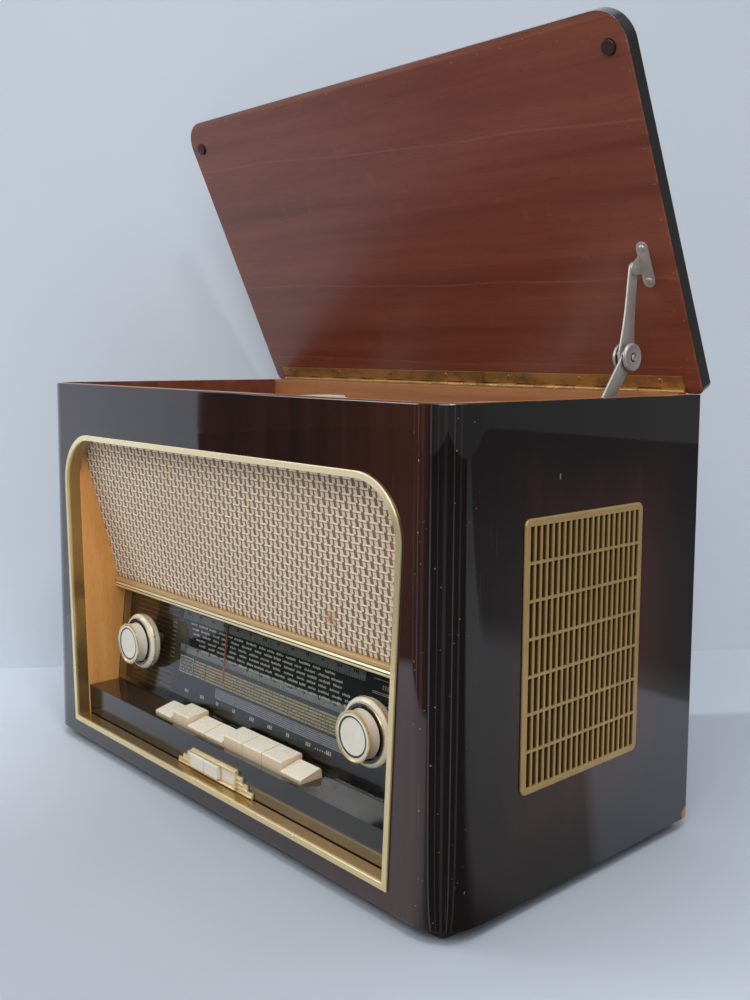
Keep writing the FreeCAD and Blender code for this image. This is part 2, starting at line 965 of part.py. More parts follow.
def make_button_frame():
    """Stepped gilt frame on the apron, narrower at each step up."""
    body = new_body("ButtonFrame")
    right = []
    for step in range(FRAME_STEPS):
        half = d.frame_top_half + d.frame_step * (FRAME_STEPS - 1 - step)
        right.append((half, frame_low + d.frame_rise * step))
        right.append((half, frame_low + d.frame_rise * (step + 1)))
    left = [(-u, v) for u, v in reversed(right)]
    windows = [button_window(i, d.button_fit) for i in range(1, BUTTON_COUNT + 1)]
    pad(body, sketch(body, "XZ_Plane", [right + left] + windows, -apron_front), d.frame_thick)
    node("button_frame", body)


def make_buttons():
    for number in range(1, BUTTON_COUNT + 1):
        body = new_body(f"ToneButton{number}")
        start = apron_front - d.frame_thick - d.button_stand
        if number in PRESSED_BUTTONS:
            start = start + d.button_travel
        face = sketch(body, "XZ_Plane", [button_window(number, 0)], -start)
        pad(body, face, d.button_length, reverse=True)
        node(f"tone_button_{number}", body)


pivot_y = behind(d.pivot_setback)
pivot_z = apron_top - d.pivot_drop


def key_x(number):
    return d.key_pitch * (number - (KEY_COUNT + 1) / 2)


def make_keys():
    """Ivory keys on flat levers that turn on one shaft; the pressed ones stand dipped."""
    for number in range(1, KEY_COUNT + 1):
        body = new_body(f"Key{number}")
        near = d.key_setback - d.pivot_setback
        far = near + d.key_length
        low = d.pivot_drop - d.key_sink
        cap = [
            (near, low),
            (far, low),
            (far, d.pivot_drop + d.key_back_rise, d.key_corner),
            (near, d.pivot_drop + d.key_front_rise, d.key_corner),
        ]
        pad(body, sketch(body, "YZ_Plane", [cap]), d.key_pitch - d.key_gap, symmetric=True)
        lever = [
            (near + d.key_length / 2, low + d.lever_half),
            (near + d.key_length / 2, low - d.lever_half * 2),
            (far, -d.lever_half),
            (d.lever_eye, -d.lever_half),
            (d.lever_eye, d.lever_half),
            (far, d.lever_half),
            (far - d.lever_half, low + d.lever_half),
        ]
        pad(body, sketch(body, "YZ_Plane", [lever]), d.lever_width, symmetric=True)
        eye = (0, 0, d.lever_eye)
        pad(body, sketch(body, "YZ_Plane", [eye]), d.lever_width, symmetric=True)
        bore = (0, 0, d.key_shaft_radius + d.running_gap)
        pocket(body, sketch(body, "YZ_Plane", [bore]))
        dip = d.key_dip if number in PRESSED_KEYS else d.key_dip * 0
        place(body, (key_x(number), pivot_y, pivot_z), X_AXIS, dip)
        node(f"key_{number}", body)


chassis_front = behind(d.chassis_setback)
chassis_half = half_width - d.chassis_side_gap
chassis_rear = back - d.chassis_rear_gap


def make_key_switch():
    """Key switch: floor, two end plates, the shaft that the keys turn on and the contact block."""
    wall = d.switch_wall
    half = keys_half + wall
    low = pivot_z - d.switch_floor_drop - d.lever_eye
    high = pivot_z + d.lever_eye + wall
    near = pivot_y - d.lever_eye - wall
    floor = box("SwitchFloor", (-half, near, low), (half, chassis_front, low + wall))
    ends = []
    for sign in (-1, 1):
        left = keys_half * sign if sign > 0 else -half
        ends.append(box("SwitchEnd", (left, near, low), (left + wall, chassis_front, high)))
    block = box(
        "SwitchBlock", (-half, chassis_front - d.switch_block, low), (half, chassis_front, pivot_z)
    )
    shaft = cylinder("KeyShaft", (-half, pivot_y, pivot_z), d.key_shaft_radius, half * 2, TURN_TO_X)
    node("key_switch", fuse("KeySwitch", floor, block, shaft, *ends))


# Double knobs with their shafts


def make_inner_knob(label, sign):
    body = new_body(label.title().replace("_", ""))
    near = d.knob_setback
    far = near + d.knob_length
    end = d.chassis_setback - d.pot_length + d.pot_bore_depth - d.seat_gap
    profile = [
        (0, near),
        (d.knob_radius - d.knob_bevel, near),
        (d.knob_radius, near + d.knob_bevel),
        (d.knob_waist, far),
        (d.shaft_radius, far),
        (d.shaft_radius, end),
        (0, end),
    ]
    revolve(body, sketch(body, "XY_Plane", [profile]))
    place(body, (sign * knob_place, front, knob_z))
    node(label, body)


def make_outer_knob(label, sign):
    body = new_body(label.title().replace("_", ""))
    bore = d.shaft_radius + d.running_gap
    sleeve = bore + d.sleeve_wall
    near = d.knob_setback + d.knob_length + d.ring_space
    far = near + d.ring_length
    well = near + d.ring_well_depth
    end = d.chassis_setback - d.pot_length - d.sleeve_bite
    profile = [
        (bore, well),
        (d.ring_well, well),
        (d.ring_well, near),
        (d.ring_lip, near),
        (d.ring_radius, near + d.ring_bevel),
        (d.ring_radius, far),
        (sleeve, far),
        (sleeve, end),
        (bore, end),
    ]
    revolve(body, sketch(body, "XY_Plane", [profile]))
    place(body, (sign * knob_place, front, knob_z))
    node(label, body)


def make_control_pots():
    pots = []
    for sign in (-1, 1):
        at = (sign * knob_place, chassis_front - d.pot_length, knob_z)
        can = cylinder("PotCan", at, d.pot_radius, d.pot_length, TURN_TO_Y)
        bore = cylinder("PotBore", at, d.shaft_radius + d.running_gap, d.pot_bore_depth, TURN_TO_Y)
        pots.append(cut("Pot", can, bore))
    node("control_pots", group("ControlPots", *pots))


# Radio chassis

drum_z = base + d.drum_high
drum_place = knob_place - d.pot_radius - d.drum_gap - d.drum_radius
chassis_top = floor_top + d.chassis_height


def make_chassis():
    """Steel tray, open below, with a tall front plate for the shafts."""
    wall = d.chassis_wall
    rear = chassis_rear
    tray = box("Tray", (-chassis_half, chassis_front, floor_top), (chassis_half, rear, chassis_top))
    hollow = box(
        "TrayHollow",
        (-chassis_half + wall, chassis_front + wall, floor_top),
        (chassis_half - wall, rear - wall, chassis_top - wall),
    )
    plate = box(
        "ChassisFront",
        (-chassis_half, chassis_front, floor_top),
        (chassis_half, chassis_front + wall, floor_top + d.chassis_front_height),
    )
    bearing_bore = cylinder(
        "DrumBearing",
        (drum_place, chassis_front, drum_z),
        d.drum_shaft + d.running_gap,
        wall,
        TURN_TO_Y,
    )
    shell = fuse("ChassisShell", cut("TrayShell", tray, hollow), plate)
    node("chassis", cut("Chassis", shell, bearing_bore))


def make_tuning_drum():
    """Grooved cord drum of the tuning drive, on a shaft through the chassis front."""
    body = new_body("TuningDrum")
    far = -d.drum_space
    near = far - d.drum_thick
    middle = (near + far) / 2
    profile = [
        (0, near),
        (d.drum_radius, near),
        (d.drum_radius - d.drum_groove, middle),
        (d.drum_radius, far),
        (d.drum_shaft * 2, far),
        (d.drum_shaft * 2, -d.seat_gap),
        (d.drum_shaft, -d.seat_gap),
        (d.drum_shaft, d.drum_shaft_tail),
        (0, d.drum_shaft_tail),
    ]
    revolve(body, sketch(body, "XY_Plane", [profile]))
    place(body, (drum_place, chassis_front, drum_z))
    node("tuning_drum", body)


def make_transformers():
    """Mains and output transformers: laminated core with a coil standing through it."""
    items = []
    for label, scale_down, side in (("Mains", 1.0, -1), ("Output", 0.7, 1)):
        width = d.core_width * scale_down
        depth = d.core_depth * scale_down
        height = d.core_height * scale_down
        x = (chassis_half - d.core_gap - d.core_width / 2) * side
        y = chassis_rear - d.core_depth
        core = box(
            f"{label}Core",
            (x - width / 2, y - depth / 4, chassis_top),
            (x + width / 2, y + depth / 4, chassis_top + height),
        )
        coil = box(
            f"{label}Coil",
            (x - width / 2 + d.coil_margin, y - depth / 2, chassis_top + d.coil_margin),
            (x + width / 2 - d.coil_margin, y + depth / 2, chassis_top + height - d.coil_margin),
        )
        items.append(fuse(f"{label}Transformer", core, coil))
    node("transformers", group("Transformers", *items))


def make_valves():
    items = []
    first = d.core_gap + d.core_width + d.valve_gap + d.valve_radius - chassis_half
    pitch = first * -2 / (VALVE_COUNT - 1)
    for i in range(VALVE_COUNT):
        body = new_body(f"Valve{i}")
        profile = [
            (0, 0),
            (d.valve_radius, 0),
            (d.valve_radius, d.valve_height, d.valve_dome),
            (0, d.valve_height),
        ]
        revolve(body, sketch(body, "XZ_Plane", [profile]))
        place(body, (first + pitch * i, chassis_front + d.valve_setback, chassis_top))
        items.append(body)
    node("valves", group("Valves", *items))


def make_socket_panel():
    """Rear panel with aerial sockets and the square mains inlet, held on the chassis."""
    wall = d.chassis_wall
    rear = chassis_rear
    plate = box(
        "SocketPlate",
        (-socket_half + d.seat_gap, cover_back - d.socket_thick, socket_low + d.seat_gap),
        (socket_half - d.seat_gap, cover_back, socket_low + d.socket_height - d.seat_gap),
    )
    middle = socket_low + d.socket_height / 2
    arms = []
    for sign in (-1, 1):
        x = sign * (socket_half - d.inlet_side / 2)
        low = (x - wall, rear, middle - wall)
        high = (x + wall, cover_back - d.socket_thick, middle + wall)
        arms.append(box("SocketArm", low, high))
    bores = [
        cylinder(
            f"SocketBore{i}",
            (d.socket_pitch * (i + 1) - socket_half, cover_back - d.socket_thick, middle),
            d.socket_bore,
            d.socket_thick,
            TURN_TO_Y,
        )
        for i in range(SOCKET_COUNT)
    ]
    inlet_x = socket_half - d.socket_pitch * 2
    reach = d.inlet_side / 2
    inlet = box(
        "MainsInlet",
        (inlet_x - reach, cover_back - d.socket_thick, middle - reach / 2),
        (inlet_x + reach, cover_back, middle + reach / 2),
    )
    node("socket_panel", cut("SocketPanel", fuse("SocketFrame", plate, *arms), inlet, *bores))


# Loudspeakers


def make_speaker(name):
    """One loudspeaker: flange, open cone in front, basket and magnet behind."""
    body = new_body(name)
    depth = d.speaker_depth
    profile = [
        (0, d.speaker_dust),
        (d.speaker_dust, d.speaker_well),
        (d.speaker_cone, 0),
        (d.speaker_flange, 0),
        (d.speaker_flange, d.speaker_plate),
        (d.speaker_cone, d.speaker_plate),
        (d.speaker_waist, d.speaker_basket),
        (d.speaker_magnet, d.speaker_basket),
        (d.speaker_magnet, depth),
        (0, depth),
    ]
    revolve(body, sketch(body, "XY_Plane", [profile]))
    return body


def make_speakers():
    front_speaker = make_speaker("FrontSpeaker")
    rear = d.cloth_thick + d.baffle_thick
    y = behind(cloth_set) - speaker_up * cloth_sin + rear * cloth_cos
    z = bar_top + speaker_up * cloth_cos + rear * cloth_sin
    place(front_speaker, (0, y, z), X_AXIS, bearing(cloth_run, cloth_rise))
    right = make_speaker("RightSpeaker")
    place(right, (inner_half, grille_y, side_speaker_z), Z_AXIS, QUARTER_TURN)
    left = make_speaker("LeftSpeaker")
    place(left, (-inner_half, grille_y, side_speaker_z), Z_AXIS, -QUARTER_TURN)
    node("speakers", group("Speakers", front_speaker, right, left))


# Side grilles


def make_side_grille(label, outer, sign):
    """Moulded grille: a rim on the panel and a slatted field let into the rebate."""
    body = new_body(label.title().replace("_", ""))
    rim = sketch(body, "YZ_Plane", [grille_rectangle(0, d.grille_corner + d.grille_rim)], outer)
    pad(body, rim, d.grille_stand, reverse=sign < 0)
    field = sketch(body, "YZ_Plane", [grille_rectangle(d.grille_rim, d.grille_corner)], outer)
    pad(body, field, d.grille_sink, reverse=sign > 0)
    pitch = (d.grille_width - d.grille_border * 2 + d.grille_slat) / GRILLE_COLUMNS
    row = (d.grille_height - d.grille_border * 2 + d.grille_bar) / GRILLE_ROWS
    left = grille_y - d.grille_width / 2 + d.grille_border
    low = grille_z - d.grille_height / 2 + d.grille_border
    column = [
        rectangle(left, left + pitch - d.grille_slat, low + row * i, low + row * (i + 1) - d.grille_bar)
        for i in range(GRILLE_ROWS)
    ]
    profile = sketch(body, "YZ_Plane", column)
    slots = pocket(body, profile)
    pattern = body.newObject("PartDesign::LinearPattern", body.Name + "Slats")
    pattern.Originals = [slots]
    pattern.Direction = (profile, ["H_Axis"])
    pattern.Occurrences = GRILLE_COLUMNS
    bind(pattern, Length=pitch * (GRILLE_COLUMNS - 1))
    body.Tip = pattern
    node(label, body)


# Lid, drawn closed about the hinge axis and turned open

axis_y = back + d.hinge_back
axis_z = top + d.hinge_up
lid_length = d.cabinet_depth + d.hinge_back + d.lid_overhang
hinge_half = half_width - d.hinge_inset


def hang_on_hinge(item):
    place(item, (0, axis_y, axis_z), X_AXIS, -d.lid_open)


def make_lid():
    body = new_body("LidPanel")
    plan = [
        (-half_width, -lid_length, d.lid_front_radius),
        (half_width, -lid_length, d.lid_front_radius),
        (half_width, d.lid_tail, d.lid_rear_radius),
        (-half_width, d.lid_tail, d.lid_rear_radius),
    ]
    pad(body, sketch(body, "XY_Plane", [plan], d.lid_lift), d.lid_thick)
    relief = rectangle(
        -d.knuckle_radius - d.hinge_relief,
        d.lid_tail * 2,
        0,
        d.knuckle_radius + d.hinge_relief,
    )
    groove = body.newObject("PartDesign::Pocket", "HingeGroove")
    groove.Profile = sketch(body, "YZ_Plane", [relief])
    groove.SideType = "Symmetric"
    bind(groove, Length=(hinge_half + d.hinge_relief) * 2)
    wells = [(x, y, d.buffer_radius) for x, y in buffer_places()]
    pocket(body, sketch(body, "XY_Plane", wells, d.lid_lift), d.buffer_sink, reverse=True)
    hang_on_hinge(body)
    node("lid_panel", body)


def buffer_places():
    across = half_width - d.buffer_side
    along = d.buffer_front - lid_length
    return [(-across, along), (across, along)]


def make_buffers():
    """Rubber buffers let into the lid, standing a little proud of its inner face."""
    items = []
    height = d.buffer_sink + d.buffer_stand
    for x, y in buffer_places():
        start = (x, y, d.lid_lift - d.buffer_stand)
        items.append(cylinder("Buffer", start, d.buffer_radius - d.fit_gap, height))
    buffers = group("LidBuffers", *items)
    hang_on_hinge(buffers)
    node("lid_buffers", buffers)


def knuckle_row(name, first, low, high, tab):
    """Every other knuckle of the hinge, each with the tab that joins it to its leaf."""
    pitch = hinge_half * 2 / (HINGE_PAIRS * 2)
    items = []
    for i in range(first, HINGE_PAIRS * 2, 2):
        start = pitch * i - hinge_half + d.knuckle_gap / 2
        end = start + pitch - d.knuckle_gap
        items.append(box(f"{name}Tab", (start, tab[0], low), (end, tab[1], high)))
        items.append(cylinder(f"{name}Knuckle", (start, 0, 0), d.knuckle_radius, end - start, TURN_TO_X))
    return items


def make_hinge_leaf(label, first, low, inner):
    """One leaf of the long hinge about its own axis."""
    name = label.title().replace("_", "")
    high = low + d.leaf_thick
    near = -d.knuckle_radius - d.hinge_relief
    plate = box(name + "Plate", (-hinge_half, near - inner, low), (hinge_half, near, high))
    row = knuckle_row(name, first, low, high, (near, size(0)))
    bore = cylinder(
        name + "Bore",
        (-hinge_half, 0, 0),
        d.hinge_pin_radius + d.running_gap,
        hinge_half * 2,
        TURN_TO_X,
    )
    return node(label, cut(name, fuse(name + "Solid", plate, *row), bore))


def make_hinge():
    lid_leaf = make_hinge_leaf("hinge_lid_leaf", 1, d.lid_lift - d.leaf_thick, d.leaf_width)
    hang_on_hinge(lid_leaf)
    rail_leaf = make_hinge_leaf("hinge_rail_leaf", 0, -d.hinge_up, d.rail_thick)
    place(rail_leaf, (0, axis_y, axis_z))
    pin = cylinder(
        "HingePin", (-hinge_half, axis_y, axis_z), d.hinge_pin_radius, hinge_half * 2, TURN_TO_X
    )
    node("hinge_pin", pin)


# Lid stay: bracket on the lid, two arms that meet at the knuckle, anchor on the side

stay_x = half_width - d.stay_side
upper_left = stay_x - d.stay_thick - d.stay_space / 2
lower_left = stay_x + d.stay_space / 2
lower_right = lower_left + d.stay_thick
pivot_in = d.lid_lift - d.stay_off
stay_top_y = axis_y - d.stay_along * cosine(d.lid_open) + pivot_in * sine(d.lid_open)
stay_top_z = axis_z + d.stay_along * sine(d.lid_open) + pivot_in * cosine(d.lid_open)
knuckle_y = axis_y - d.knuckle_forward
knuckle_z = axis_z + d.knuckle_up
anchor_y = axis_y - d.anchor_forward
anchor_z = top - d.anchor_drop


def make_arm(label, left, start, end, disc_left):
    """A flat arm with a pivot eye at its start and a friction disc at its end."""
    body = new_body(label.title().replace("_", ""))
    run = end[0] - start[0]
    rise = end[1] - start[1]
    length = root(run * run + rise * rise)
    outline = [
        (0, -d.stay_eye),
        (length / 2, -d.stay_neck),
        (length, -d.stay_neck),
        (length, d.stay_neck),
        (length / 2, d.stay_eye),
        (0, d.stay_eye),
    ]
    pad(body, sketch(body, "YZ_Plane", [outline], left), d.stay_thick)
    pad(body, sketch(body, "YZ_Plane", [(0, 0, d.stay_eye)], left), d.stay_thick)
    pad(body, sketch(body, "YZ_Plane", [(length, 0, d.stay_disc)], disc_left), d.stay_disc_thick)
    hub_left = disc_left - d.stay_hub_stand
    hub_thick = d.stay_disc_thick + d.stay_hub_stand
    if disc_left.value > left.value:
        hub_left = disc_left
    pad(body, sketch(body, "YZ_Plane", [(length, 0, d.stay_hub)], hub_left), hub_thick)
    pocket(body, sketch(body, "YZ_Plane", [(0, 0, d.stay_pin + d.running_gap)]))
    place(body, (0, start[0], start[1]), X_AXIS, bearing(rise, run))
    node(label, body)


def make_stay():
    top_point = (stay_top_y, stay_top_z)
    knuckle = (knuckle_y, knuckle_z)
    anchor = (anchor_y, anchor_z)
    make_arm("stay_upper_arm", upper_left, top_point, knuckle, upper_left - d.stay_disc_thick)
    make_arm("stay_lower_arm", lower_left, anchor, knuckle, lower_right)
    ear_left = lower_left
    ear_right = ear_left + d.bracket_thick
    ear = box(
        "BracketEar",
        (ear_left, -d.stay_along - d.stay_eye, pivot_in - d.stay_eye),
        (ear_right, -d.stay_along + d.stay_eye, d.lid_lift),
    )
    foot = box(
        "BracketFoot",
        (ear_left, -d.stay_along - d.bracket_length / 2, d.lid_lift - d.bracket_thick),
        (ear_left + d.bracket_width, -d.stay_along + d.bracket_length / 2, d.lid_lift),
    )
    pin = cylinder(
        "BracketPin",
        (upper_left - d.stay_space, -d.stay_along, pivot_in),
        d.stay_pin,
        ear_right - upper_left + d.stay_space,
        TURN_TO_X,
    )
    bracket = fuse("StayBracket", ear, foot, pin)
    hang_on_hinge(bracket)
    node("stay_bracket", bracket)
    plate = box(
        "AnchorPlate",
        (inner_half - d.anchor_plate, anchor_y - d.anchor_width / 2, anchor_z - d.anchor_height / 2),
        (inner_half, anchor_y + d.anchor_width / 2, anchor_z + d.anchor_height / 2),
    )
    post_left = lower_right + d.stay_space
    post = cylinder(
        "AnchorPost", (post_left, anchor_y, anchor_z), d.anchor_post, inner_half - post_left, TURN_TO_X
    )
    stub = cylinder(
        "AnchorPin",
        (lower_left, anchor_y, anchor_z),
        d.stay_pin,
        post_left - lower_left,
        TURN_TO_X,
    )
    node("stay_anchor", fuse("StayAnchor", plate, post, stub))


# Record player

deck_low = board_top
deck_top = deck_low + d.deck_height
deck_left = d.deck_place - d.deck_width / 2
deck_right = deck_left + d.deck_width
platter_place = deck_left + d.platter_inset
motor_place = deck_right - d.motor_inset
arm_place = deck_right - d.arm_inset
deck_near = behind(d.deck_setback)
deck_far = back - d.deck_rear_gap
platter_y = (inner_front + rail_front) / 2
platter_low = deck_top + d.collar_height
platter_top = platter_low + d.platter_height
arm_y = back - d.arm_rear_gap
arm_reach = arm_y - behind(d.head_setback)
arm_z = deck_top + d.arm_pivot_high
post_low = deck_top + d.collar_height


def make_motor_board():
    body = new_body("MotorBoard")
    radius = d.corner_radius - d.panel_wall + d.floor_corner_gap
    plan = [
        (-inner_half, board_front, radius),
        (inner_half, board_front, radius),
        (inner_half, rail_front),
        (-inner_half, rail_front),
    ]
    lap = d.board_lap
    hole = rectangle(deck_left + lap, deck_right - lap, deck_near + lap, deck_far - lap)
    pad(body, sketch(body, "XY_Plane", [plan, hole], board_low), d.board_thick)
    node("motor_board", body)


def make_deck():
    """Deck moulding, hollow below, with the arm's collar and rest."""
    body = new_body("DeckPlate")
    plan = rectangle(deck_left, deck_right, deck_near, deck_far, d.deck_corner)
    pad(body, sketch(body, "XY_Plane", [plan], deck_low), d.deck_height)
    wall = d.deck_wall
    hollow = rectangle(
        deck_left + wall, deck_right - wall, deck_near + wall, deck_far - wall, d.deck_corner - wall
    )
    depth = d.deck_height - wall
    pocket(body, sketch(body, "XY_Plane", [hollow], deck_low), depth, reverse=True)
    collar = (arm_place, arm_y, d.post_collar)
    pad(body, sketch(body, "XY_Plane", [collar], deck_top), d.collar_height)
    rest = (
        arm_place - d.rest_reach * sine(d.arm_park),
        arm_y - d.rest_reach * cosine(d.arm_park),
        d.rest_radius,
    )
    rest_height = d.arm_pivot_high - d.arm_under - d.seat_gap
    pad(body, sketch(body, "XY_Plane", [rest], deck_top), rest_height)
    node("deck_plate", body)
    motor_low = deck_top - d.deck_wall - d.motor_height
    at = (motor_place, back - d.motor_rear_gap, motor_low)
    node("deck_motor", cylinder("DeckMotor", at, d.motor_radius, d.motor_height))


def make_platter():
    """Rim-driven platter on its spindle, with a rubber mat."""
    spindle = new_body("Spindle")
    seat = platter_top + d.mat_thick - deck_top
    tip = seat + d.spindle_stand
    profile = [
        (0, 0),
        (d.spindle_collar, 0),
        (d.spindle_collar, d.collar_height),
        (d.spindle_radius, d.collar_height),
        (d.spindle_radius, seat - d.pin_shoulder),
        (d.pin_neck_radius, seat - d.pin_shoulder),
        (d.pin_neck_radius, seat + d.pin_neck),
        (d.record_pin_radius, seat + d.pin_neck),
        (d.record_pin_radius, tip, d.record_pin_radius / 2),
        (0, tip),
    ]
    revolve(spindle, sketch(spindle, "XZ_Plane", [profile]))
    place(spindle, (platter_place, platter_y, deck_top))
    node("spindle", spindle)
    platter = new_body("Platter")
    bore = d.spindle_radius + d.running_gap
    rim_in = d.platter_radius - d.platter_rim
    web_low = d.platter_height - d.platter_web
    profile = [
        (bore, 0),
        (d.platter_hub, 0),
        (d.platter_hub, web_low),
        (rim_in, web_low),
        (rim_in, d.platter_skirt_gap),
        (d.platter_radius, d.platter_skirt_gap),
        (d.platter_radius, d.platter_height),
        (bore, d.platter_height),
    ]
    revolve(platter, sketch(platter, "XZ_Plane", [profile]))
    place(platter, (platter_place, platter_y, platter_low))
    node("platter", platter)
    mat = new_body("PlatterMat")
    ring = [(platter_place, platter_y, d.mat_radius), (platter_place, platter_y, d.mat_bore)]
    pad(mat, sketch(mat, "XY_Plane", ring, platter_top), d.mat_thick)
    node("platter_mat", mat)


def make_tonearm():
    """Ivory tone arm parked on its rest, and the post that it turns and tips on."""
    half = d.arm_width / 2
    ears = []
    near = half + d.ear_gap
    for side in (-near - d.ear_thick, near):
        low = (side, -d.ear_depth / 2, 0)
        high = (side + d.ear_thick, d.ear_depth / 2, arm_z - post_low + d.arm_pin * 2)
        ears.append(box("PostEar", low, high))
    drum = cylinder("PostDrum", (0, 0, 0), d.post_radius, d.post_height)
    reach = near + d.ear_thick
    pin = cylinder("ArmPin", (-reach, 0, arm_z - post_low), d.arm_pin, reach * 2, TURN_TO_X)
    post = fuse("TonearmPost", drum, pin, *ears)
    place(post, (arm_place, arm_y, post_low), Z_AXIS, -d.arm_park)
    node("tonearm_post", post)
    arm = new_body("Tonearm")
    nose = -arm_reach - d.head_nose
    heel = nose + d.head_length
    side_view = [
        (d.arm_tail, -d.arm_under, d.arm_round),
        (d.arm_tail, d.arm_top, d.arm_round),
        (heel + d.head_nose * 2, d.arm_top),
        (heel, d.head_top),
        (nose, d.head_top, d.arm_round),
        (nose, -d.head_under, d.arm_round),
        (heel, -d.head_under),
        (heel + d.head_nose, -d.arm_under),
    ]
    pad(arm, sketch(arm, "YZ_Plane", [side_view]), d.arm_width, symmetric=True)
    head = [
        (heel, -d.head_under),
        (heel, d.head_top),
        (nose, d.head_top, d.arm_round),
        (nose, -d.head_under, d.arm_round),
    ]
    pad(arm, sketch(arm, "YZ_Plane", [head]), d.head_width, symmetric=True)
    stylus = sketch(arm, "XY_Plane", [(0, -arm_reach, d.stylus_radius)], -d.head_under)
    pad(arm, stylus, d.stylus_drop, reverse=True)
    pocket(arm, sketch(arm, "YZ_Plane", [(0, 0, d.arm_pin + d.running_gap)]))
    place(arm, (arm_place, arm_y, arm_z), Z_AXIS, -d.arm_park)
    node("tonearm", arm)


def make_speed_lever():
    x, y = deck_left + d.speed_inset, behind(d.speed_setback)
    disc = cylinder("SpeedDisc", (x, y, deck_top), d.speed_radius, d.speed_thick)
    half = d.speed_arm_width / 2
    arm = box("SpeedArm", (x - half, y, deck_top), (x + half, y + d.speed_arm, deck_top + d.speed_thick))
    knob = cylinder(
        "SpeedKnob", (x, y + d.speed_arm, deck_top), d.speed_knob_radius, d.speed_knob_height
    )
    node("speed_lever", fuse("SpeedLever", disc, arm, knob))


# Building


def build():
    make_front_panel()
    make_side_panel("side_panel_left", -half_width, -1)
    make_side_panel("side_panel_right", half_width, 1)
    make_floor()
    make_feet()
    make_rear()
    make_opening_trim()
    make_cheeks()
    make_cloth()
    make_bar()
    make_dial()
    make_apron()
    make_button_frame()
    make_buttons()
    make_keys()
    make_key_switch()
    make_inner_knob("volume_knob", -1)
    make_outer_knob("bass_knob", -1)
    make_inner_knob("tuning_knob", 1)
    make_outer_knob("treble_knob", 1)
    make_control_pots()
    make_chassis()
    make_tuning_drum()
    make_transformers()
    make_valves()
    make_socket_panel()
    make_speakers()
    make_side_grille("side_grille_left", -half_width, -1)
    make_side_grille("side_grille_right", half_width, 1)
    make_lid()
    make_buffers()
    make_hinge()
    make_stay()
    make_motor_board()
    make_deck()
    make_platter()
    make_tonearm()
    make_speed_lever()


def check():
    """Stops on a failed object, an invalid shape or too many sub-parts."""
    failed = [item.Name for item in doc.Objects if {"Invalid", "Error"} & set(item.State)]
    if failed:
        raise RuntimeError("failed objects: " + ", ".join(failed))
    for item in nodes:
        shape = item.Shape
        if shape.isNull() or not shape.isValid() or not shape.Solids:
            raise RuntimeError("bad shape: " + item.Label)
    if len(nodes) > NODE_LIMIT:
        raise RuntimeError(f"{len(nodes)} sub-parts")


def export():
    os.makedirs("parts", exist_ok=True)
    for item in nodes:
        item.Shape.exportStep(os.path.join("parts", item.Label + ".step"))


build()
doc.recompute()
check()
export()
print(len(nodes), "sub-parts written")
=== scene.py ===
import json
import math
import random
from functools import partial

import bmesh
import bpy
import numpy as np
from mathutils import Matrix, Vector


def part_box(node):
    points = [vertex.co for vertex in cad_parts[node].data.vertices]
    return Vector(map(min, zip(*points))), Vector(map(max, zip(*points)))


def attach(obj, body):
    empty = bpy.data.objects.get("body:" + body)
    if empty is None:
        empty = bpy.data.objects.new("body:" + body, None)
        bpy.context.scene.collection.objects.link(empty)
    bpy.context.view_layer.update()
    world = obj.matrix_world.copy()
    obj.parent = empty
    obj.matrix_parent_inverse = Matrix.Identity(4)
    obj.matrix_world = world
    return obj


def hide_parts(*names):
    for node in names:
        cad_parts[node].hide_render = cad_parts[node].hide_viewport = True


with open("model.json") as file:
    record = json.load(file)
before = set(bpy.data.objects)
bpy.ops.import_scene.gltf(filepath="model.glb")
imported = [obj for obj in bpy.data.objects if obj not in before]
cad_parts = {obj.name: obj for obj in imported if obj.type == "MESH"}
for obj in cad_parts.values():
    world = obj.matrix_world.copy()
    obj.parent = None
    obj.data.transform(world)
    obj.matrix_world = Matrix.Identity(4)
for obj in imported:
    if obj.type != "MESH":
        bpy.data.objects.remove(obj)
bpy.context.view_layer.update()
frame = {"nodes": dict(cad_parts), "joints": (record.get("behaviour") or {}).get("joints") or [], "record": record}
nodes = frame["nodes"]
bodyOf = {n: b for b, members in frame["record"]["behaviour"]["bodies"].items() for n in members}
pivotOf = {j["name"]: Vector(j["pos_m"]) for j in frame["joints"] if "pos_m" in j}
scene = bpy.context.scene
mm = 0.001
xAxis = Vector((1, 0, 0))

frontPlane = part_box("front_panel")[0].y
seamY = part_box("side_panel_right")[0].y
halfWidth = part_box("side_panel_right")[1].x
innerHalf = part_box("side_panel_right")[0].x

lidPose = {"open": 65.0, "hinge": (156.151, 401.5)}  # degrees, then y and z in mm
openTurn = math.radians(lidPose["open"])
lidAlong = Vector((0, -math.cos(openTurn), math.sin(openTurn)))  # from the hinge to the free edge
lidIn = Vector((0, -math.sin(openTurn), -math.cos(openTurn)))  # the way the lid's inside looks


# shader helpers: they all add to the node tree that was started last

finishes = {}
tree = None


def startTree(owner):
    global tree
    owner.use_nodes = True
    tree = owner.node_tree


def startFinish(name):
    finishes[name] = bpy.data.materials.new(name)
    startTree(finishes[name])


def feed(node, values):
    for key, value in values.items():
        if isinstance(value, bpy.types.NodeSocket):
            tree.links.new(value, node.inputs[key])
        else:
            node.inputs[key].default_value = value


def addNode(kind, values=None, **settings):
    node = tree.nodes.new("ShaderNode" + kind)
    for key, value in settings.items():
        setattr(node, key, value)
    feed(node, values or {})
    return node


def place(scale=(1, 1, 1), shift=(0, 0, 0)):
    spot = addNode("TexCoord").outputs["Object"]
    return addNode("Mapping", {"Vector": spot, "Scale": scale, "Location": shift}).outputs[0]


def axes(vector=None):  # x, y and z of a vector, or of the piece
    parts = addNode("SeparateXYZ", {0: place() if vector is None else vector})
    return [parts.outputs[i] for i in range(3)]


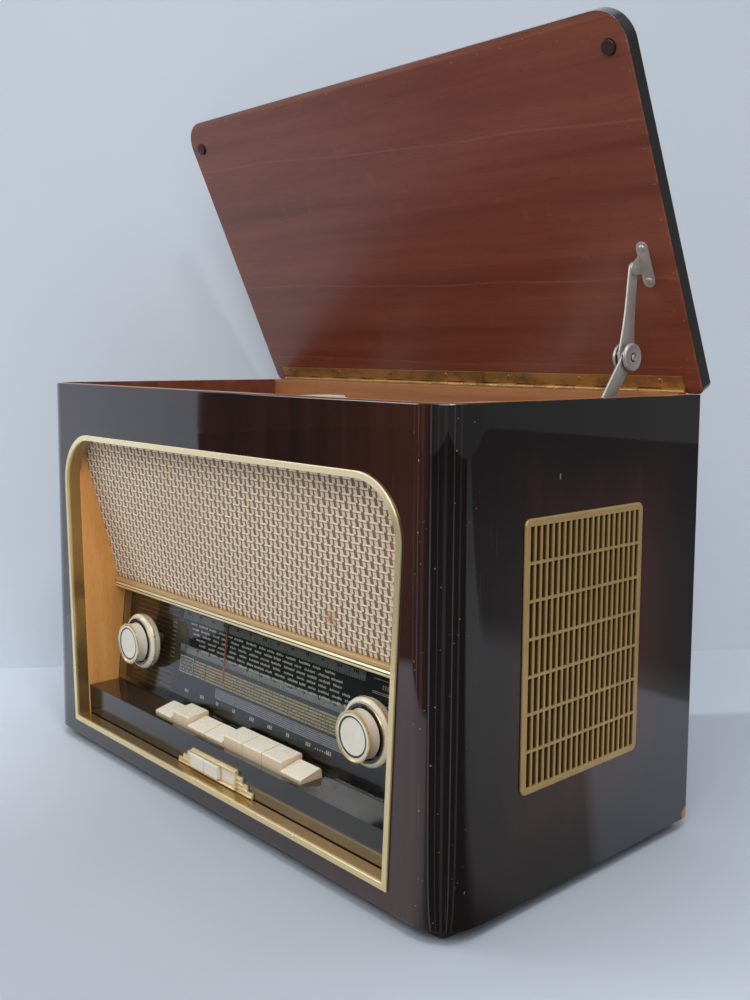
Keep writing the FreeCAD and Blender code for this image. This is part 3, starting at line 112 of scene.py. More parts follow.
def noise(scale, detail=3.0, rough=0.5, warp=0.0, stretch=(1, 1, 1)):
    return addNode("TexNoise", {
        "Vector": place(stretch), "Scale": scale,
        "Detail": detail, "Roughness": rough, "Distortion": warp,
    }).outputs[0]


def ramp(amount, stops):
    node = addNode("ValToRGB", {"Fac": amount})
    marks = node.color_ramp.elements
    while len(marks) < len(stops):
        marks.new(0.5)
    for mark, (spot, colour) in zip(marks, stops):
        mark.position = spot
        mark.color = (*colour, 1)
    return node.outputs[0]


def between(amount, low, high, start=0.0, end=1.0, smooth=False):
    return addNode("MapRange", {
        "Value": amount, "From Min": start, "From Max": end, "To Min": low, "To Max": high,
    }, interpolation_type="SMOOTHSTEP" if smooth else "LINEAR").outputs[0]


def rise(amount, start, end, smooth=False):
    return between(amount, 0, 1, start, end, smooth)


def fall(amount, start, end, smooth=False):
    return between(amount, 1, 0, start, end, smooth)


def band(value, low, high, soft, smooth=True):  # 1 from low to high, 0 outside
    return times(rise(value, low - soft, low + soft, smooth),
                 fall(value, high - soft, high + soft, smooth))


def maths(kind, first, *others):
    for other in others or (0.0,):
        first = addNode("Math", {0: first, 1: other}, operation=kind).outputs[0]
    return first


times, plus, minus = (partial(maths, kind) for kind in ("MULTIPLY", "ADD", "SUBTRACT"))
most, least, absolute = (partial(maths, kind) for kind in ("MAXIMUM", "MINIMUM", "ABSOLUTE"))


def along(spot, way):  # how far a spot lies along a way
    return plus(*(times(s, float(w)) for s, w in zip(spot, way)))


def vectorMaths(kind, *vectors):
    return addNode("VectorMath", dict(enumerate(vectors)), operation=kind).outputs["Value"]


def mixColour(amount, a, b, blend="MIX"):
    node = addNode("Mix", data_type="RGBA", blend_type=blend)
    a, b = ((*c, 1) if isinstance(c, tuple) else c for c in (a, b))
    feed(node, {"Factor": amount, 6: a, 7: b})
    return node.outputs[2]


def layers(colour, *coats):  # tones laid over a colour, each by its amount
    for amount, tone in coats:
        colour = mixColour(amount, colour, tone)
    return colour


def darker(colour, share):
    return tuple(share * c for c in colour)


def setLook(colour, rough, bump=None, coat=(0.0, 0.03), others=None):
    shader = tree.nodes["Principled BSDF"]
    feed(shader, {"Base Color": colour, "Roughness": rough, **(others or {})})
    feed(shader, {"Coat Weight": coat[0], "Coat Roughness": coat[1]})
    if bump:
        height, strength, depth = bump
        bumped = addNode("Bump", {"Height": height, "Strength": strength, "Distance": depth})
        feed(shader, {"Normal": bumped.outputs[0]})
    return shader


# finishes

lacquerLook = {
    "dark": (0.0085, 0.0055, 0.0050), "warm": (0.044, 0.0135, 0.0085),
    "tones": (0.22, 0.66),  # amounts of grain that are dark and warm
    "rough": (0.015, 0.05), "coat": (0.7, 0.02),
    "wave": 0.00012,  # depth of the slow waves in the surface
    "sideY": (-0.135, 0.15), "sideZ": (0.015, 0.395),
    "heart": 0.11,  # a side is shaded this far in from its edges
    "front": (-0.168, -0.164),
    "frontPaintedLight": (0.55, 0.92, 0.02, 0.24),  # painted light: the red of the wood is painted showing most at the right of the front, where light falls
    "scuff": (0.35, 0.28, 0.24), "scuffShare": 0.10,
    "chip": (0.315, 0.152, 0.014),  # bare wood at the rear right foot of the cabinet
    "chipSize": (0.004, 0.0085), "ragged": 0.0022, "bareWood": (0.50, 0.20, 0.065),
    "nick": (0.315, -0.045, 0.3415), "nickSize": (0.0004, 0.0010, 0.0030),
    "corner": (0.272, -0.132, 0.012),  # specks show on the round front corners: x, y and fade
    "speck": (0.55, 0.53, 0.50), "speckShare": 0.33, "speckFrom": (0.836, 0.856),
}


def makeLacquer():
    look = lacquerLook
    startFinish("lacquer_gloss")
    x, y, z = axes()
    broad = noise(3.0, 2.0, stretch=(2.2, 2.2, 1.4))
    grain = noise(1.0, 4.0, 0.6, 0.4, (60, 60, 2.5))
    inset = least(minus(z, look["sideZ"][0]), minus(look["sideZ"][1], z),
                  minus(y, look["sideY"][0]), minus(look["sideY"][1], y))
    heart = between(inset, 0.30, 1.0, 0.0, look["heart"], True)
    # painted light: the front is painted warmer towards its right, where light falls
    heart = most(heart, times(fall(y, *look["front"]), between(x, *look["frontPaintedLight"])))
    mixed = times(broad, between(grain, 0.7, 1.3, 0.3, 0.7))
    mixed = times(plus(mixed, 0.12), heart)
    colour = ramp(mixed, list(zip(look["tones"], (look["dark"], look["warm"]))))
    scratch = noise(1.0, 1.0, stretch=(900, 900, 14))
    dust = noise(900.0, 1.0)
    wear = most(rise(scratch, 0.74, 0.8), between(dust, 0, 0.6, 0.76, 0.82))
    ragged = between(noise(260.0, 3.0), -look["ragged"], look["ragged"])
    bare = fall(plus(vectorMaths("DISTANCE", place(), look["chip"]), ragged), *look["chipSize"])
    wide = look["nickSize"]
    nick = vectorMaths("LENGTH", place(tuple(1 / w for w in wide),
                                       tuple(-c / w for c, w in zip(look["nick"], wide))))
    dots = rise(noise(420.0, 0.0), *look["speckFrom"])
    cornerX, cornerY, fade = look["corner"]
    corner = times(rise(absolute(x), cornerX, cornerX + fade), fall(y, cornerY - fade, cornerY))
    pale = most(fall(nick, 0.7, 1.0), times(dots, corner))
    colour = layers(colour, (between(wear, 0, look["scuffShare"]), look["scuff"]),
                    (times(pale, look["speckShare"]), look["speck"]), (bare, look["bareWood"]))
    rough = plus(between(most(wear, broad), *look["rough"]), times(bare, 0.5))
    setLook(colour, rough, (noise(7.0, 1.0), 0.3, look["wave"]), look["coat"])


lidWear = {
    "half": 0.315, "reach": 0.3315,  # half the lid's width, and its length from the hinge
    "edge": 0.004, "worn": (0.40, 0.18, 0.10),
    "dots": (0.006, 0.022),  # small dents, fewer away from the edge
    "lines": ((0.262, 0.055), (0.118, 0.03), (0.028, 0.01)),  # light veneer lines: height and slant
    "lineTone": (0.34, 0.115, 0.055), "lineBend": 0.010, "lineSize": (0.0002, 0.0016),
    "scratch": (0.50, 0.25, 0.15), "rub": (0.36, 0.17, 0.10),
}


def wearLid(colour, streak):
    look = lidWear
    hingeY, hingeZ = lidPose["hinge"]
    spot = axes(place(shift=(0, -hingeY * mm, -hingeZ * mm)))
    reach = along(spot, lidAlong)
    fromEdge = least(minus(look["half"], absolute(spot[0])), minus(look["reach"], reach))
    worn = times(between(fromEdge, 0.45, 0, 0.0, look["edge"], True), between(streak, 0.1, 1, 0.4, 0.65))
    dots = times(between(noise(240.0, 1.0), 0, 0.7, 0.70, 0.76), fall(fromEdge, *look["dots"]))
    lines = []
    for high, slant in look["lines"]:
        middle = between(noise(3.5, 2.0), high - look["lineBend"], high + look["lineBend"])
        off = absolute(minus(plus(reach, times(spot[0], slant)), middle))
        lines.append(between(off, 0.34, 0, *look["lineSize"], True))
    rub = times(noise(5.5, 3.0), rise(noise(55.0, 5.0, 0.7), 0.45, 0.75))
    scratch = times(between(noise(1.0, 2.0, stretch=(420, 60, 60)), 0, 0.5, 0.74, 0.80),
                    rise(noise(7.0, 2.0), 0.55, 0.66))
    return layers(colour, (most(*lines), look["lineTone"]), (most(worn, dots), look["worn"]),
                  (scratch, look["scratch"]), (between(rub, 0, 0.22, 0.25, 0.6), look["rub"]))


woodLooks = {  # deep, middle and light tone; roughness, depth of the pores, coat, axis of the grain
    "lid_mahogany": ((0.145, 0.027, 0.0108), (0.200, 0.042, 0.0170), (0.250, 0.064, 0.0265),
                     (0.30, 0.42), 0.00010, 0.45, 0),
    "inner_wood": ((0.10, 0.024, 0.012), (0.19, 0.052, 0.024), (0.27, 0.085, 0.036),
                   (0.4, 0.6), 0.00012, 0.12, 0),
    "rim_wood": ((0.33, 0.125, 0.040), (0.46, 0.19, 0.065), (0.58, 0.27, 0.10),
                 (0.4, 0.55), 0.0001, 0.12, 0),
    "rail_wood": ((0.30, 0.10, 0.032), (0.40, 0.15, 0.05), (0.50, 0.21, 0.075),
                  (0.4, 0.55), 0.0001, 0.12, 0),
    "cheek_amber": ((0.70, 0.30, 0.078), (0.80, 0.37, 0.105), (0.86, 0.43, 0.14),
                    (0.3, 0.4), 0.00004, 0.12, 2),
    "board_wood": ((0.085, 0.042, 0.02), (0.14, 0.075, 0.036), (0.19, 0.11, 0.055),
                   (0.6, 0.8), 0.0001, 0.12, 0),
}


def makeWood(name):
    deep, middle, light, rough, pore, coat, axis = woodLooks[name]
    startFinish(name)

    def drawn(run, across):  # a stretch along the grain
        return tuple(run if i == axis else across for i in range(3))

    figure = noise(1.0, 4.0, 0.55, 0.8, drawn(1.05, 21))
    streak = noise(1.0, 4.0, 0.6, 0.2, drawn(3, 60))
    pores = between(noise(1.0, 2.0, 0.6, 0.0, drawn(35, 1400)), 0.0, 0.45, 0.56, 0.72)
    mixed = plus(times(figure, 0.45), times(streak, 0.55))
    colour = ramp(mixed, [(0.32, deep), (0.5, middle), (0.70, light)])
    if name == "lid_mahogany":
        colour = wearLid(colour, streak)
    setLook(mixColour(pores, colour, darker(deep, 0.45)), between(streak, *rough),
            (minus(mixed, pores), 0.5, pore), (coat, 0.28))


metalLooks = {  # colour, worn colour, roughness, how far it is worn, metal
    "gilt_bright": ((0.88, 0.69, 0.36), (0.30, 0.17, 0.055), (0.20, 0.34), 0.4, 0.68),
    "trim_gilt": ((0.92, 0.74, 0.40), (0.40, 0.25, 0.09), (0.20, 0.30), 0.14, 0.66),
    "gilt_pale": ((0.80, 0.66, 0.38), (0.46, 0.33, 0.15), (0.30, 0.42), 0.35, 0.35),
    "gilt_moulding": ((0.50, 0.325, 0.128), (0.34, 0.22, 0.08), (0.30, 0.42), 0.5, 0.35),
    "nickel_plate": ((0.64, 0.60, 0.55), (0.46, 0.42, 0.37), (0.36, 0.52), 0.35, 0.75),
    "aged_brass": ((0.50, 0.275, 0.095), (0.12, 0.062, 0.026), (0.30, 0.52), 0.80, 0.7),
    "plated_steel": ((0.55, 0.54, 0.50), (0.36, 0.33, 0.27), (0.3, 0.5), 0.45, 1.0),
    "cast_alloy": ((0.50, 0.50, 0.50), (0.33, 0.33, 0.33), (0.35, 0.55), 0.5, 1.0),
    "lamination_steel": ((0.16, 0.155, 0.15), (0.09, 0.07, 0.055), (0.45, 0.6), 0.5, 0.9),
}
metalExtras = {
    "gilt_moulding": {"gap": (0.100, 0.049, 0.013), "gapFrom": (0.3150, 0.3168)},  # painted shade deep between the slats of the grilles
    "trim_gilt": {"dents": 0.06, "paintedLightBands": (  # axis, start, end, share, tone, gloss
        (2, 0.312, 0.335, 0.9, (1.0, 0.86, 0.55), 0.4),  # painted highlight: bright along the top
        (1, -0.1690, -0.1668, 0.9, (0.36, 0.205, 0.062), 1.2),  # painted shade: deeper gold inside, behind the bead
    )},
}


def makeMetal(name):
    base, worn, rough, amount, metal = metalLooks[name]
    extra = metalExtras.get(name, {})
    startFinish(name)
    cloud = noise(38.0, 5.0, 0.65, 0.3)
    specks = noise(420.0, 2.0)
    colour = mixColour(between(plus(cloud, times(specks, 0.25)), 0, amount, 0.56, 0.86), base, worn)
    if "gap" in extra:
        # painted shade: the grilles are painted dark deep between the slats, where shade falls
        colour = mixColour(fall(absolute(axes()[0]), *extra["gapFrom"]), colour, extra["gap"])
    # painted highlight and painted shade on the trim, in bands along an axis
    for axis, start, end, share, tone, gloss in extra.get("paintedLightBands", ()):
        part = between(axes()[axis], 0, share, start, end)
        colour = mixColour(part, colour, tone)
        metal = times(between(part, 1.0, gloss), metal)
    setLook(colour, between(cloud, *rough, 0.3, 0.75), (cloud, extra.get("dents", 0.25), 0.00003),
            others={"Metallic": metal})


plainLooks = {  # colour, other colour, roughness, grain, depth of the bumps, coat
    "ivory_plastic": ((0.72, 0.665, 0.53), (0.80, 0.755, 0.64), (0.2, 0.32), 55.0, 0.00002, 0.2),
    "black_gloss": ((0.008, 0.007, 0.007), (0.02, 0.016, 0.014), (0.09, 0.2), 30.0, 0.00004, 0.6),
    "rubber_black": ((0.022, 0.021, 0.020), (0.05, 0.046, 0.042), (0.6, 0.8), 300.0, 0.0001, 0.0),
    "phenolic_board": ((0.085, 0.045, 0.02), (0.13, 0.07, 0.03), (0.35, 0.5), 120.0, 0.00005, 0.1),
    "deck_paint": ((0.36, 0.33, 0.27), (0.45, 0.415, 0.345), (0.3, 0.42), 260.0, 0.00035, 0.2),
    "speaker_black": ((0.03, 0.028, 0.026), (0.055, 0.05, 0.045), (0.5, 0.7), 160.0, 0.0001, 0.0),
    "fibre_board": ((0.12, 0.068, 0.034), (0.19, 0.11, 0.058), (0.7, 0.85), 240.0, 0.0003, 0.0),
    "pointer_paint": ((0.52, 0.09, 0.03), (0.62, 0.15, 0.05), (0.35, 0.45), 90.0, 0.00002, 0.2),
    "buffer_brown": ((0.028, 0.010, 0.007), (0.05, 0.018, 0.012), (0.45, 0.6), 200.0, 0.0001, 0.0),
}


def makePlain(name):
    base, other, rough, grain, bumps, coat = plainLooks[name]
    startFinish(name)
    cloud = noise(grain, 4.0, 0.6)
    broad = noise(grain * 0.12, 3.0, 0.6)
    colour = mixColour(rise(times(cloud, broad), 0.12, 0.42), base, other)
    setLook(colour, between(broad, *rough, 0.3, 0.7), (cloud, 0.5, bumps), (coat, 0.08))


keyLook = {
    # painted light: the tops are painted paler than the sides and front
    "top": (0.80, 0.745, 0.61), "foot": (0.78, 0.55, 0.31), "sideShade": 0.75,
    "stain": (0.62, 0.49, 0.33),
}


def makeKeyIvory():
    startFinish("key_ivory")
    cloud = noise(75.0, 4.0, 0.6)
    # painted shade: faces that do not look up are painted warmer and darker than the lit tops
    upward = axes(addNode("TexCoord").outputs["Normal"])[2]
    warm = between(upward, keyLook["sideShade"], 0, 0.2, 0.85, True)
    colour = layers(keyLook["top"], (warm, keyLook["foot"]), (times(cloud, 0.12), keyLook["stain"]))
    setLook(colour, between(cloud, 0.2, 0.34), (cloud, 0.3, 0.00004), (0.25, 0.1), {
        "Subsurface Weight": 0.12, "Subsurface Scale": 0.003, "Subsurface Radius": (1.0, 0.55, 0.3),
    })


barLook = {
    "bead": (0.95, 0.80, 0.48), "batten": (0.55, 0.36, 0.155), "groove": (0.035, 0.018, 0.008),
    "battenFrom": 0.62, "grooves": ((0.545, 0.62), (0.27, 0.345)),  # shares of the bar's height
}


def makeBarGilt():
    startFinish("bar_gilt")
    look = barLook
    low, high = (c.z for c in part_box("cloth_bar"))
    level = rise(axes()[2], low, high)
    cloud = noise(38.0, 5.0, 0.65, 0.3)
    upper = rise(level, look["battenFrom"] - 0.01, look["battenFrom"] + 0.01)
    # painted shade: the grooves between the beads are painted near black
    groove = most(*(times(rise(level, a - 0.02, a + 0.01), fall(level, b - 0.01, b + 0.02))
                    for a, b in look["grooves"]))
    colour = layers(look["bead"], (upper, look["batten"]), (groove, look["groove"]),
                    (between(cloud, 0, 0.5, 0.5, 0.8), look["batten"]))
    setLook(colour, between(upper, 0.22, 0.4), (cloud, 0.25, 0.00003),
            others={"Metallic": between(most(upper, groove), 0.42, 0.12)})


glassLook = {"tones": ((0.93, 0.95, 0.94), (0.97, 0.98, 0.97)), "rough": 0.02, "bend": 1.34}


def makeGlass():
    startFinish("clear_glass")
    smear = noise(1.0, 4.0, 0.6, stretch=(30, 30, 9))
    colour = ramp(smear, list(zip((0.2, 0.8), glassLook["tones"])))
    setLook(colour, between(smear, 0.0, glassLook["rough"], 0.5, 0.8),
            others={"Transmission Weight": 1.0, "IOR": glassLook["bend"]})


for make, looks in ((makeMetal, metalLooks), (makePlain, plainLooks), (makeWood, woodLooks)):
    for name in looks:
        make(name)
makeLacquer()
makeGlass()
makeBarGilt()
makeKeyIvory()
print("finishes:", len(finishes))


# piece helpers

def meshFrom(name, form):
    data = bpy.data.meshes.new(name)
    form.to_mesh(data)
    form.free()
    return data


def addTo(form, other):
    data = meshFrom("part", other)
    form.from_mesh(data)
    bpy.data.meshes.remove(data)


def pieceFrom(name, mesh, surfaces, body, replaced=(), angle=35):
    if isinstance(mesh, bmesh.types.BMesh):
        mesh = meshFrom(name, mesh)
    for key in surfaces:
        mesh.materials.append(finishes[key])
    for face in mesh.polygons:
        face.use_smooth = True
    mesh.set_sharp_from_angle(angle=math.radians(angle))
    piece = bpy.data.objects.new(name, mesh)
    scene.collection.objects.link(piece)
    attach(piece, body)
    if replaced:
        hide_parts(*replaced)
    return piece


def standIn(node, ending, form, surfaces, angle=35, flatFaces=False):
    piece = pieceFrom(node + ending, form, surfaces, bodyOf[node], (node,), angle)
    if flatFaces:
        piece.modifiers.new("flat_faces", "WEIGHTED_NORMAL").keep_sharp = True


def cleanCopy(node):
    form = bmesh.new()
    form.from_mesh(nodes[node].data)
    for face in form.faces:
        face.material_index = 0
    bmesh.ops.remove_doubles(form, verts=form.verts, dist=2e-6)
    bmesh.ops.dissolve_limit(form, angle_limit=math.radians(0.4), verts=form.verts, edges=form.edges)
    form.normal_update()
    return form


def bevel(form, edges, width, steps):
    bmesh.ops.bevel(form, geom=edges, offset=width * mm, segments=steps, profile=0.5,
                    affect="EDGES", clamp_overlap=True)
    form.normal_update()


def soften(form, width, steps=3, angle=30, skip=None):
    picked = []
    for edge in form.edges:
        folded = len(edge.link_faces) == 2 and edge.calc_face_angle(0) >= math.radians(angle)
        if folded and not (skip and skip(edge)):
            picked.append(edge)
    bevel(form, picked, width, steps)


def softPiece(node, surfaces, width, steps=3, angle=30, skip=None, paint=None):
    form = cleanCopy(node)
    if paint:
        for face in form.faces:
            face.material_index = paint(face.calc_center_median(), face.normal)
    soften(form, width, steps, angle, skip)
    standIn(node, "_soft", form, surfaces, flatFaces=True)


def lathe(profile, centre, axis=(0, 1, 0), steps=64):  # radius, way along the axis, finish, in mm
    form = bmesh.new()
    axis = Vector(axis)
    side = axis.orthogonal().normalized()
    other = axis.cross(side)
    rings = []
    for radius, high, *_ in profile:
        ring = []
        for i in range(steps if radius else 1):
            angle = 2 * math.pi * i / steps
            out = side * math.cos(angle) + other * math.sin(angle)
            ring.append(form.verts.new(centre + axis * high * mm + out * radius * mm))
        rings.append(ring if radius else ring * steps)
    for a, b, mark in zip(rings, rings[1:], profile[1:]):
        for i in range(steps):
            k = (i + 1) % steps
            face = form.faces.new(list(dict.fromkeys((a[i], a[k], b[k], b[i]))))
            face.material_index = mark[2] if len(mark) > 2 else 0
    bmesh.ops.recalc_face_normals(form, faces=form.faces)
    return form


def prism(outline, start, ahead, side, push):
    form = bmesh.new()
    face = form.faces.new([form.verts.new(start + ahead * u + side * w) for u, w in outline])
    pushed = bmesh.ops.extrude_face_region(form, geom=[face])["geom"]
    bmesh.ops.translate(form, verts=[v for v in pushed if isinstance(v, bmesh.types.BMVert)], vec=push)
    bmesh.ops.recalc_face_normals(form, faces=form.faces)
    return form


def frameOf(left, low, right, high, wide):  # the four bars of a frame
    return ((left, low, right, low + wide), (left, high - wide, right, high),
            (left, low, left + wide, high), (right - wide, low, right, high))


def halfRound(centre, radius, begin=0.0, steps=12):
    turns = [begin + math.pi * i / steps for i in range(steps + 1)]
    return [(centre + radius * math.sin(t), radius * math.cos(t)) for t in turns]


# cabinet shell: lacquer outside, wood inside

shellEdges = {"panels": 1.6, "lid": 3.0}


def onSeam(edge):
    return all(abs(v.co.y - seamY) < 1e-5 for v in edge.verts)


def shellSide(centre, normal):
    inward = normal.dot(Vector((centre.x, centre.y, 0))) < -0.01  # looks towards the cabinet's middle
    return 1 if inward and abs(normal.z) < 0.5 else 0


def lidSide(centre, normal):
    return 1 if normal.dot(lidIn) > 0.95 else 0


for node in ("front_panel", "side_panel_left", "side_panel_right"):
    softPiece(node, ("lacquer_gloss", "inner_wood"), shellEdges["panels"], 3, 40, onSeam, shellSide)
softPiece("lid_panel", ("lacquer_gloss", "lid_mahogany"), shellEdges["lid"], 4, paint=lidSide)
print("cabinet shell done")


# pieces that only need soft edges: finish and width of the edge in mm

plain = {
    "bottom_board": ("board_wood", 0.8), "feet": ("rubber_black", 1.0), "rear_rail": ("rail_wood", 0.8),
    "back_cover": ("fibre_board", 0.4), "opening_trim": ("trim_gilt", 0.7),
    "cheeks": ("cheek_amber", 0.6), "baffle_board": ("board_wood", 0.5), "cloth_bar": ("bar_gilt", 0.6),
    "dial_glass": ("clear_glass", 0.3), "dial_pointer": ("pointer_paint", 0.2),
    "apron": ("black_gloss", 1.2), "key_switch": ("plated_steel", 0.3),
    "control_pots": ("plated_steel", 0.4), "chassis": ("plated_steel", 0.3),
    "tuning_drum": ("phenolic_board", 0.3), "transformers": ("lamination_steel", 0.6),
    "valves": ("clear_glass", 0.3), "socket_panel": ("phenolic_board", 0.3),
    "speakers": ("speaker_black", 0.5), "lid_buffers": ("buffer_brown", 0.8),
    "hinge_lid_leaf": ("aged_brass", 0.2), "hinge_rail_leaf": ("aged_brass", 0.2),
    "hinge_pin": ("aged_brass", 0.2), "stay_anchor": ("nickel_plate", 0.3),
    "motor_board": ("inner_wood", 0.6), "deck_plate": ("deck_paint", 1.0),
    "deck_motor": ("cast_alloy", 1.0), "spindle": ("nickel_plate", 0.2), "platter": ("cast_alloy", 0.6),
    "tonearm_post": ("ivory_plastic", 0.6), "tonearm": ("ivory_plastic", 2.4),
    "speed_lever": ("ivory_plastic", 0.6),
}
plain.update({f"tone_button_{i}": ("ivory_plastic", 0.9) for i in range(1, 4)})
for node, (surface, width) in plain.items():
    softPiece(node, [surface], width)
print("plain pieces done")


# piano keys: the front edge of the cap is well rounded

keyEdges = {
    "front": 3.6, "others": 1.0,
    "behind": 0.006, "below": 0.012,  # where the front edge is looked for, from the front and the top
}


def addKey(node):
    low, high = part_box(node)
    form = cleanCopy(node)
    picked = []
    for edge in form.edges:
        first, last = (v.co for v in edge.verts)
        middle = (first + last) / 2
        ahead = all(f.normal.z > 0.7 or f.normal.y < -0.7 for f in edge.link_faces)
        near = middle.y < low.y + keyEdges["behind"] and middle.z > high.z - keyEdges["below"]
        if ahead and near and abs((first - last).normalized().x) > 0.99:
            picked.append(edge)
    bevel(form, picked, keyEdges["front"], 5)
    soften(form, keyEdges["others"], 3, 38)
    standIn(node, "_soft", form, ["key_ivory"], flatFaces=True)


for i in range(1, 9):
    addKey(f"key_{i}")


# side grilles: a beaded rim round slim slats

grilleLook = {"bead": 1.5, "rim": 0.0045, "slat": 0.55}


def addGrille(node):
    low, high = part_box(node)
    face = high.x if high.x > 0 else low.x
    form = cleanCopy(node)

    def onFace(v):
        return abs(v.co.x - face) < 1e-5

    def onRim(v):
        y, z = v.co.y, v.co.z
        return min(y - low.y, high.y - y, z - low.z, high.z - z) < grilleLook["rim"]

    soften(form, grilleLook["bead"], 5, 40, lambda e: not all(onFace(v) and onRim(v) for v in e.verts))
    soften(form, grilleLook["slat"], 2, 60, lambda e: not all(onFace(v) for v in e.verts))
    standIn(node, "_beaded", form, ["gilt_moulding"], flatFaces=True)


for node in ("side_grille_left", "side_grille_right"):
    addGrille(node)
print("keys and grilles done")


# speaker cloth: the weave is real relief, and its colours follow the same threads, with painted shade in the gaps
# and under the lying threads

weave = {
    "period": 0.0140, "row": 0.0070,  # one thread pair across, and one row up
    "stagger": 0.3333, "legs": ((0.0, 0.26), (0.42, 0.72)),
    "float": 0.24, "floatEnd": 0.74,  # share of a row that the lying thread takes, and where it ends
    "under": 0.13,  # shade below the lying thread
    "relief": 0.00034, "grid": 0.00105, "wander": 0.0006,
    "pale": (0.90, 0.69, 0.46), "bright": (0.97, 0.86, 0.64),
    "gap": (0.27, 0.125, 0.056), "deep": (0.11, 0.045, 0.021),
    "age": (0.45, 0.29, 0.17), "stain": (0.46, 0.185, 0.055),
    "stainAt": (0.128, 0.026),  # x, and way up from the cloth's foot
    "stainSize": (0.002, 0.014),
}


def makeCloth(slope, stainAt):
    startFinish("speaker_cloth")
    wander = noise(60.0, 2.0)
    spot = axes()
    run = plus(spot[0], between(wander, -weave["wander"], weave["wander"]))
    rows = maths("DIVIDE", along(spot, slope), weave["row"])
    t = maths("FRACT", rows)
    shift = times(maths("FLOOR", rows), weave["stagger"])
    s = maths("FRACT", plus(maths("DIVIDE", run, weave["period"]), shift))
    start = 1 - weave["float"]
    legs = most(*(band(s, *leg, 0.03) for leg in weave["legs"]))
    lying = times(band(t, start, 1.03, 0.05), band(s, -0.04, weave["floatEnd"], 0.03))
    under = times(band(t, start - weave["under"], start, 0.05), 0.75)
    fibre, fibreUp = (noise(1.0, 2.0, stretch=(2600, fine, fine)) for fine in (700, 300))
    away = vectorMaths("DISTANCE", place(), stainAt)
    mark = times(between(away, 0.6, 0, *weave["stainSize"], True), between(wander, 0.3, 1, 0.4, 0.6))
    # painted shade: the gaps are painted darker low in each row, and under the lying thread
    colour = layers(weave["gap"], (between(t, 1, 0.2), weave["deep"]), (legs, weave["pale"]),
                    (under, weave["deep"]), (lying, weave["bright"]),
                    (between(fibreUp, 0.0, 0.42, 0.35, 0.75), darker(weave["pale"], 0.6)),
                    (mark, weave["stain"]), (between(noise(7.0, 3.0), 0.0, 0.16, 0.4, 0.7), weave["age"]))
    setLook(colour, between(fibre, 0.72, 0.95), (fibre, 0.5, 0.00015),
            others={"Specular IOR Level": 0.25, "Sheen Weight": 0.25})


def inside(points, outline):
    hit = np.zeros(len(points), bool)
    px, py = points[:, 0], points[:, 1]
    for (ax, ay), (bx, by) in zip(outline, np.roll(outline, -1, 0)):
        if ay != by:
            crosses = (ay > py) != (by > py)
            hit ^= crosses & (px < (bx - ax) * (py - ay) / (by - ay) + ax)
    return hit


def smoothBand(value, low, high, soft):
    def step(x):
        x = np.clip(x, 0, 1)
        return x * x * (3 - 2 * x)
    return step((value - low + soft) / (2 * soft)) * (1 - step((value - high + soft) / (2 * soft)))


def weaveLift(gx, gs):  # height of the threads over the cloth's face
    rows = gs / weave["row"]
    t = rows - np.floor(rows)
    s = gx / weave["period"] + np.floor(rows) * weave["stagger"]
    s = s - np.floor(s)
    legs = np.maximum(*(smoothBand(s, *leg, 0.06) for leg in weave["legs"]))
    lying = smoothBand(t, 1 - weave["float"], 1.05, 0.08) * smoothBand(s, -0.05, weave["floatEnd"], 0.05)
    return (np.maximum(legs * 0.7, lying) - 0.75) * weave["relief"]


def addSpeakerCloth():
    form = cleanCopy("speaker_cloth")
    face = max((f for f in form.faces if f.normal.y < -0.5), key=lambda f: f.calc_area())
    normal = face.normal.copy()
    deep = face.calc_center_median().dot(normal)
    slope = normal.cross(xAxis)
    slope = slope if slope.z > 0 else -slope
    outline = np.array([(v.co.x, v.co.dot(slope)) for v in face.verts])
    form.free()
    low, high = outline.min(0), outline.max(0)
    counts = [max(2, int(round(r / weave["grid"]))) for r in high - low]
    xs, ss = (np.linspace(low[i], high[i], counts[i] + 1) for i in (0, 1))
    gx, gs = np.meshgrid(xs, ss)
    level = deep + weaveLift(gx, gs)
    spots = sum(g[..., None] * np.array(way) for g, way in ((gx, xAxis), (gs, slope), (level, normal)))
    wide = counts[0] + 1
    corner = (np.arange(counts[1])[:, None] * wide + np.arange(counts[0])[None, :]).ravel()
    quads = np.stack([corner, corner + 1, corner + wide + 1, corner + wide], 1)
    middles = np.stack([(g[:-1, :-1] + g[1:, 1:]).ravel() / 2 for g in (gx, gs)], 1)
    quads = quads[inside(middles, outline)]
    used, renumbered = np.unique(quads, return_inverse=True)
    mesh = bpy.data.meshes.new("speaker_cloth_woven")
    mesh.from_pydata(spots.reshape(-1, 3)[used].tolist(), [], renumbered.reshape(-1, 4).tolist())
    stainX, stainUp = weave["stainAt"]
    makeCloth(slope, xAxis * stainX + slope * (low[1] + stainUp) + normal * deep)
    piece = pieceFrom("speaker_cloth_woven", mesh, ["speaker_cloth"],
                      "cabinet", ("speaker_cloth",), 180)


addSpeakerCloth()


# dial plate and what is printed on it, laid just proud of the plate

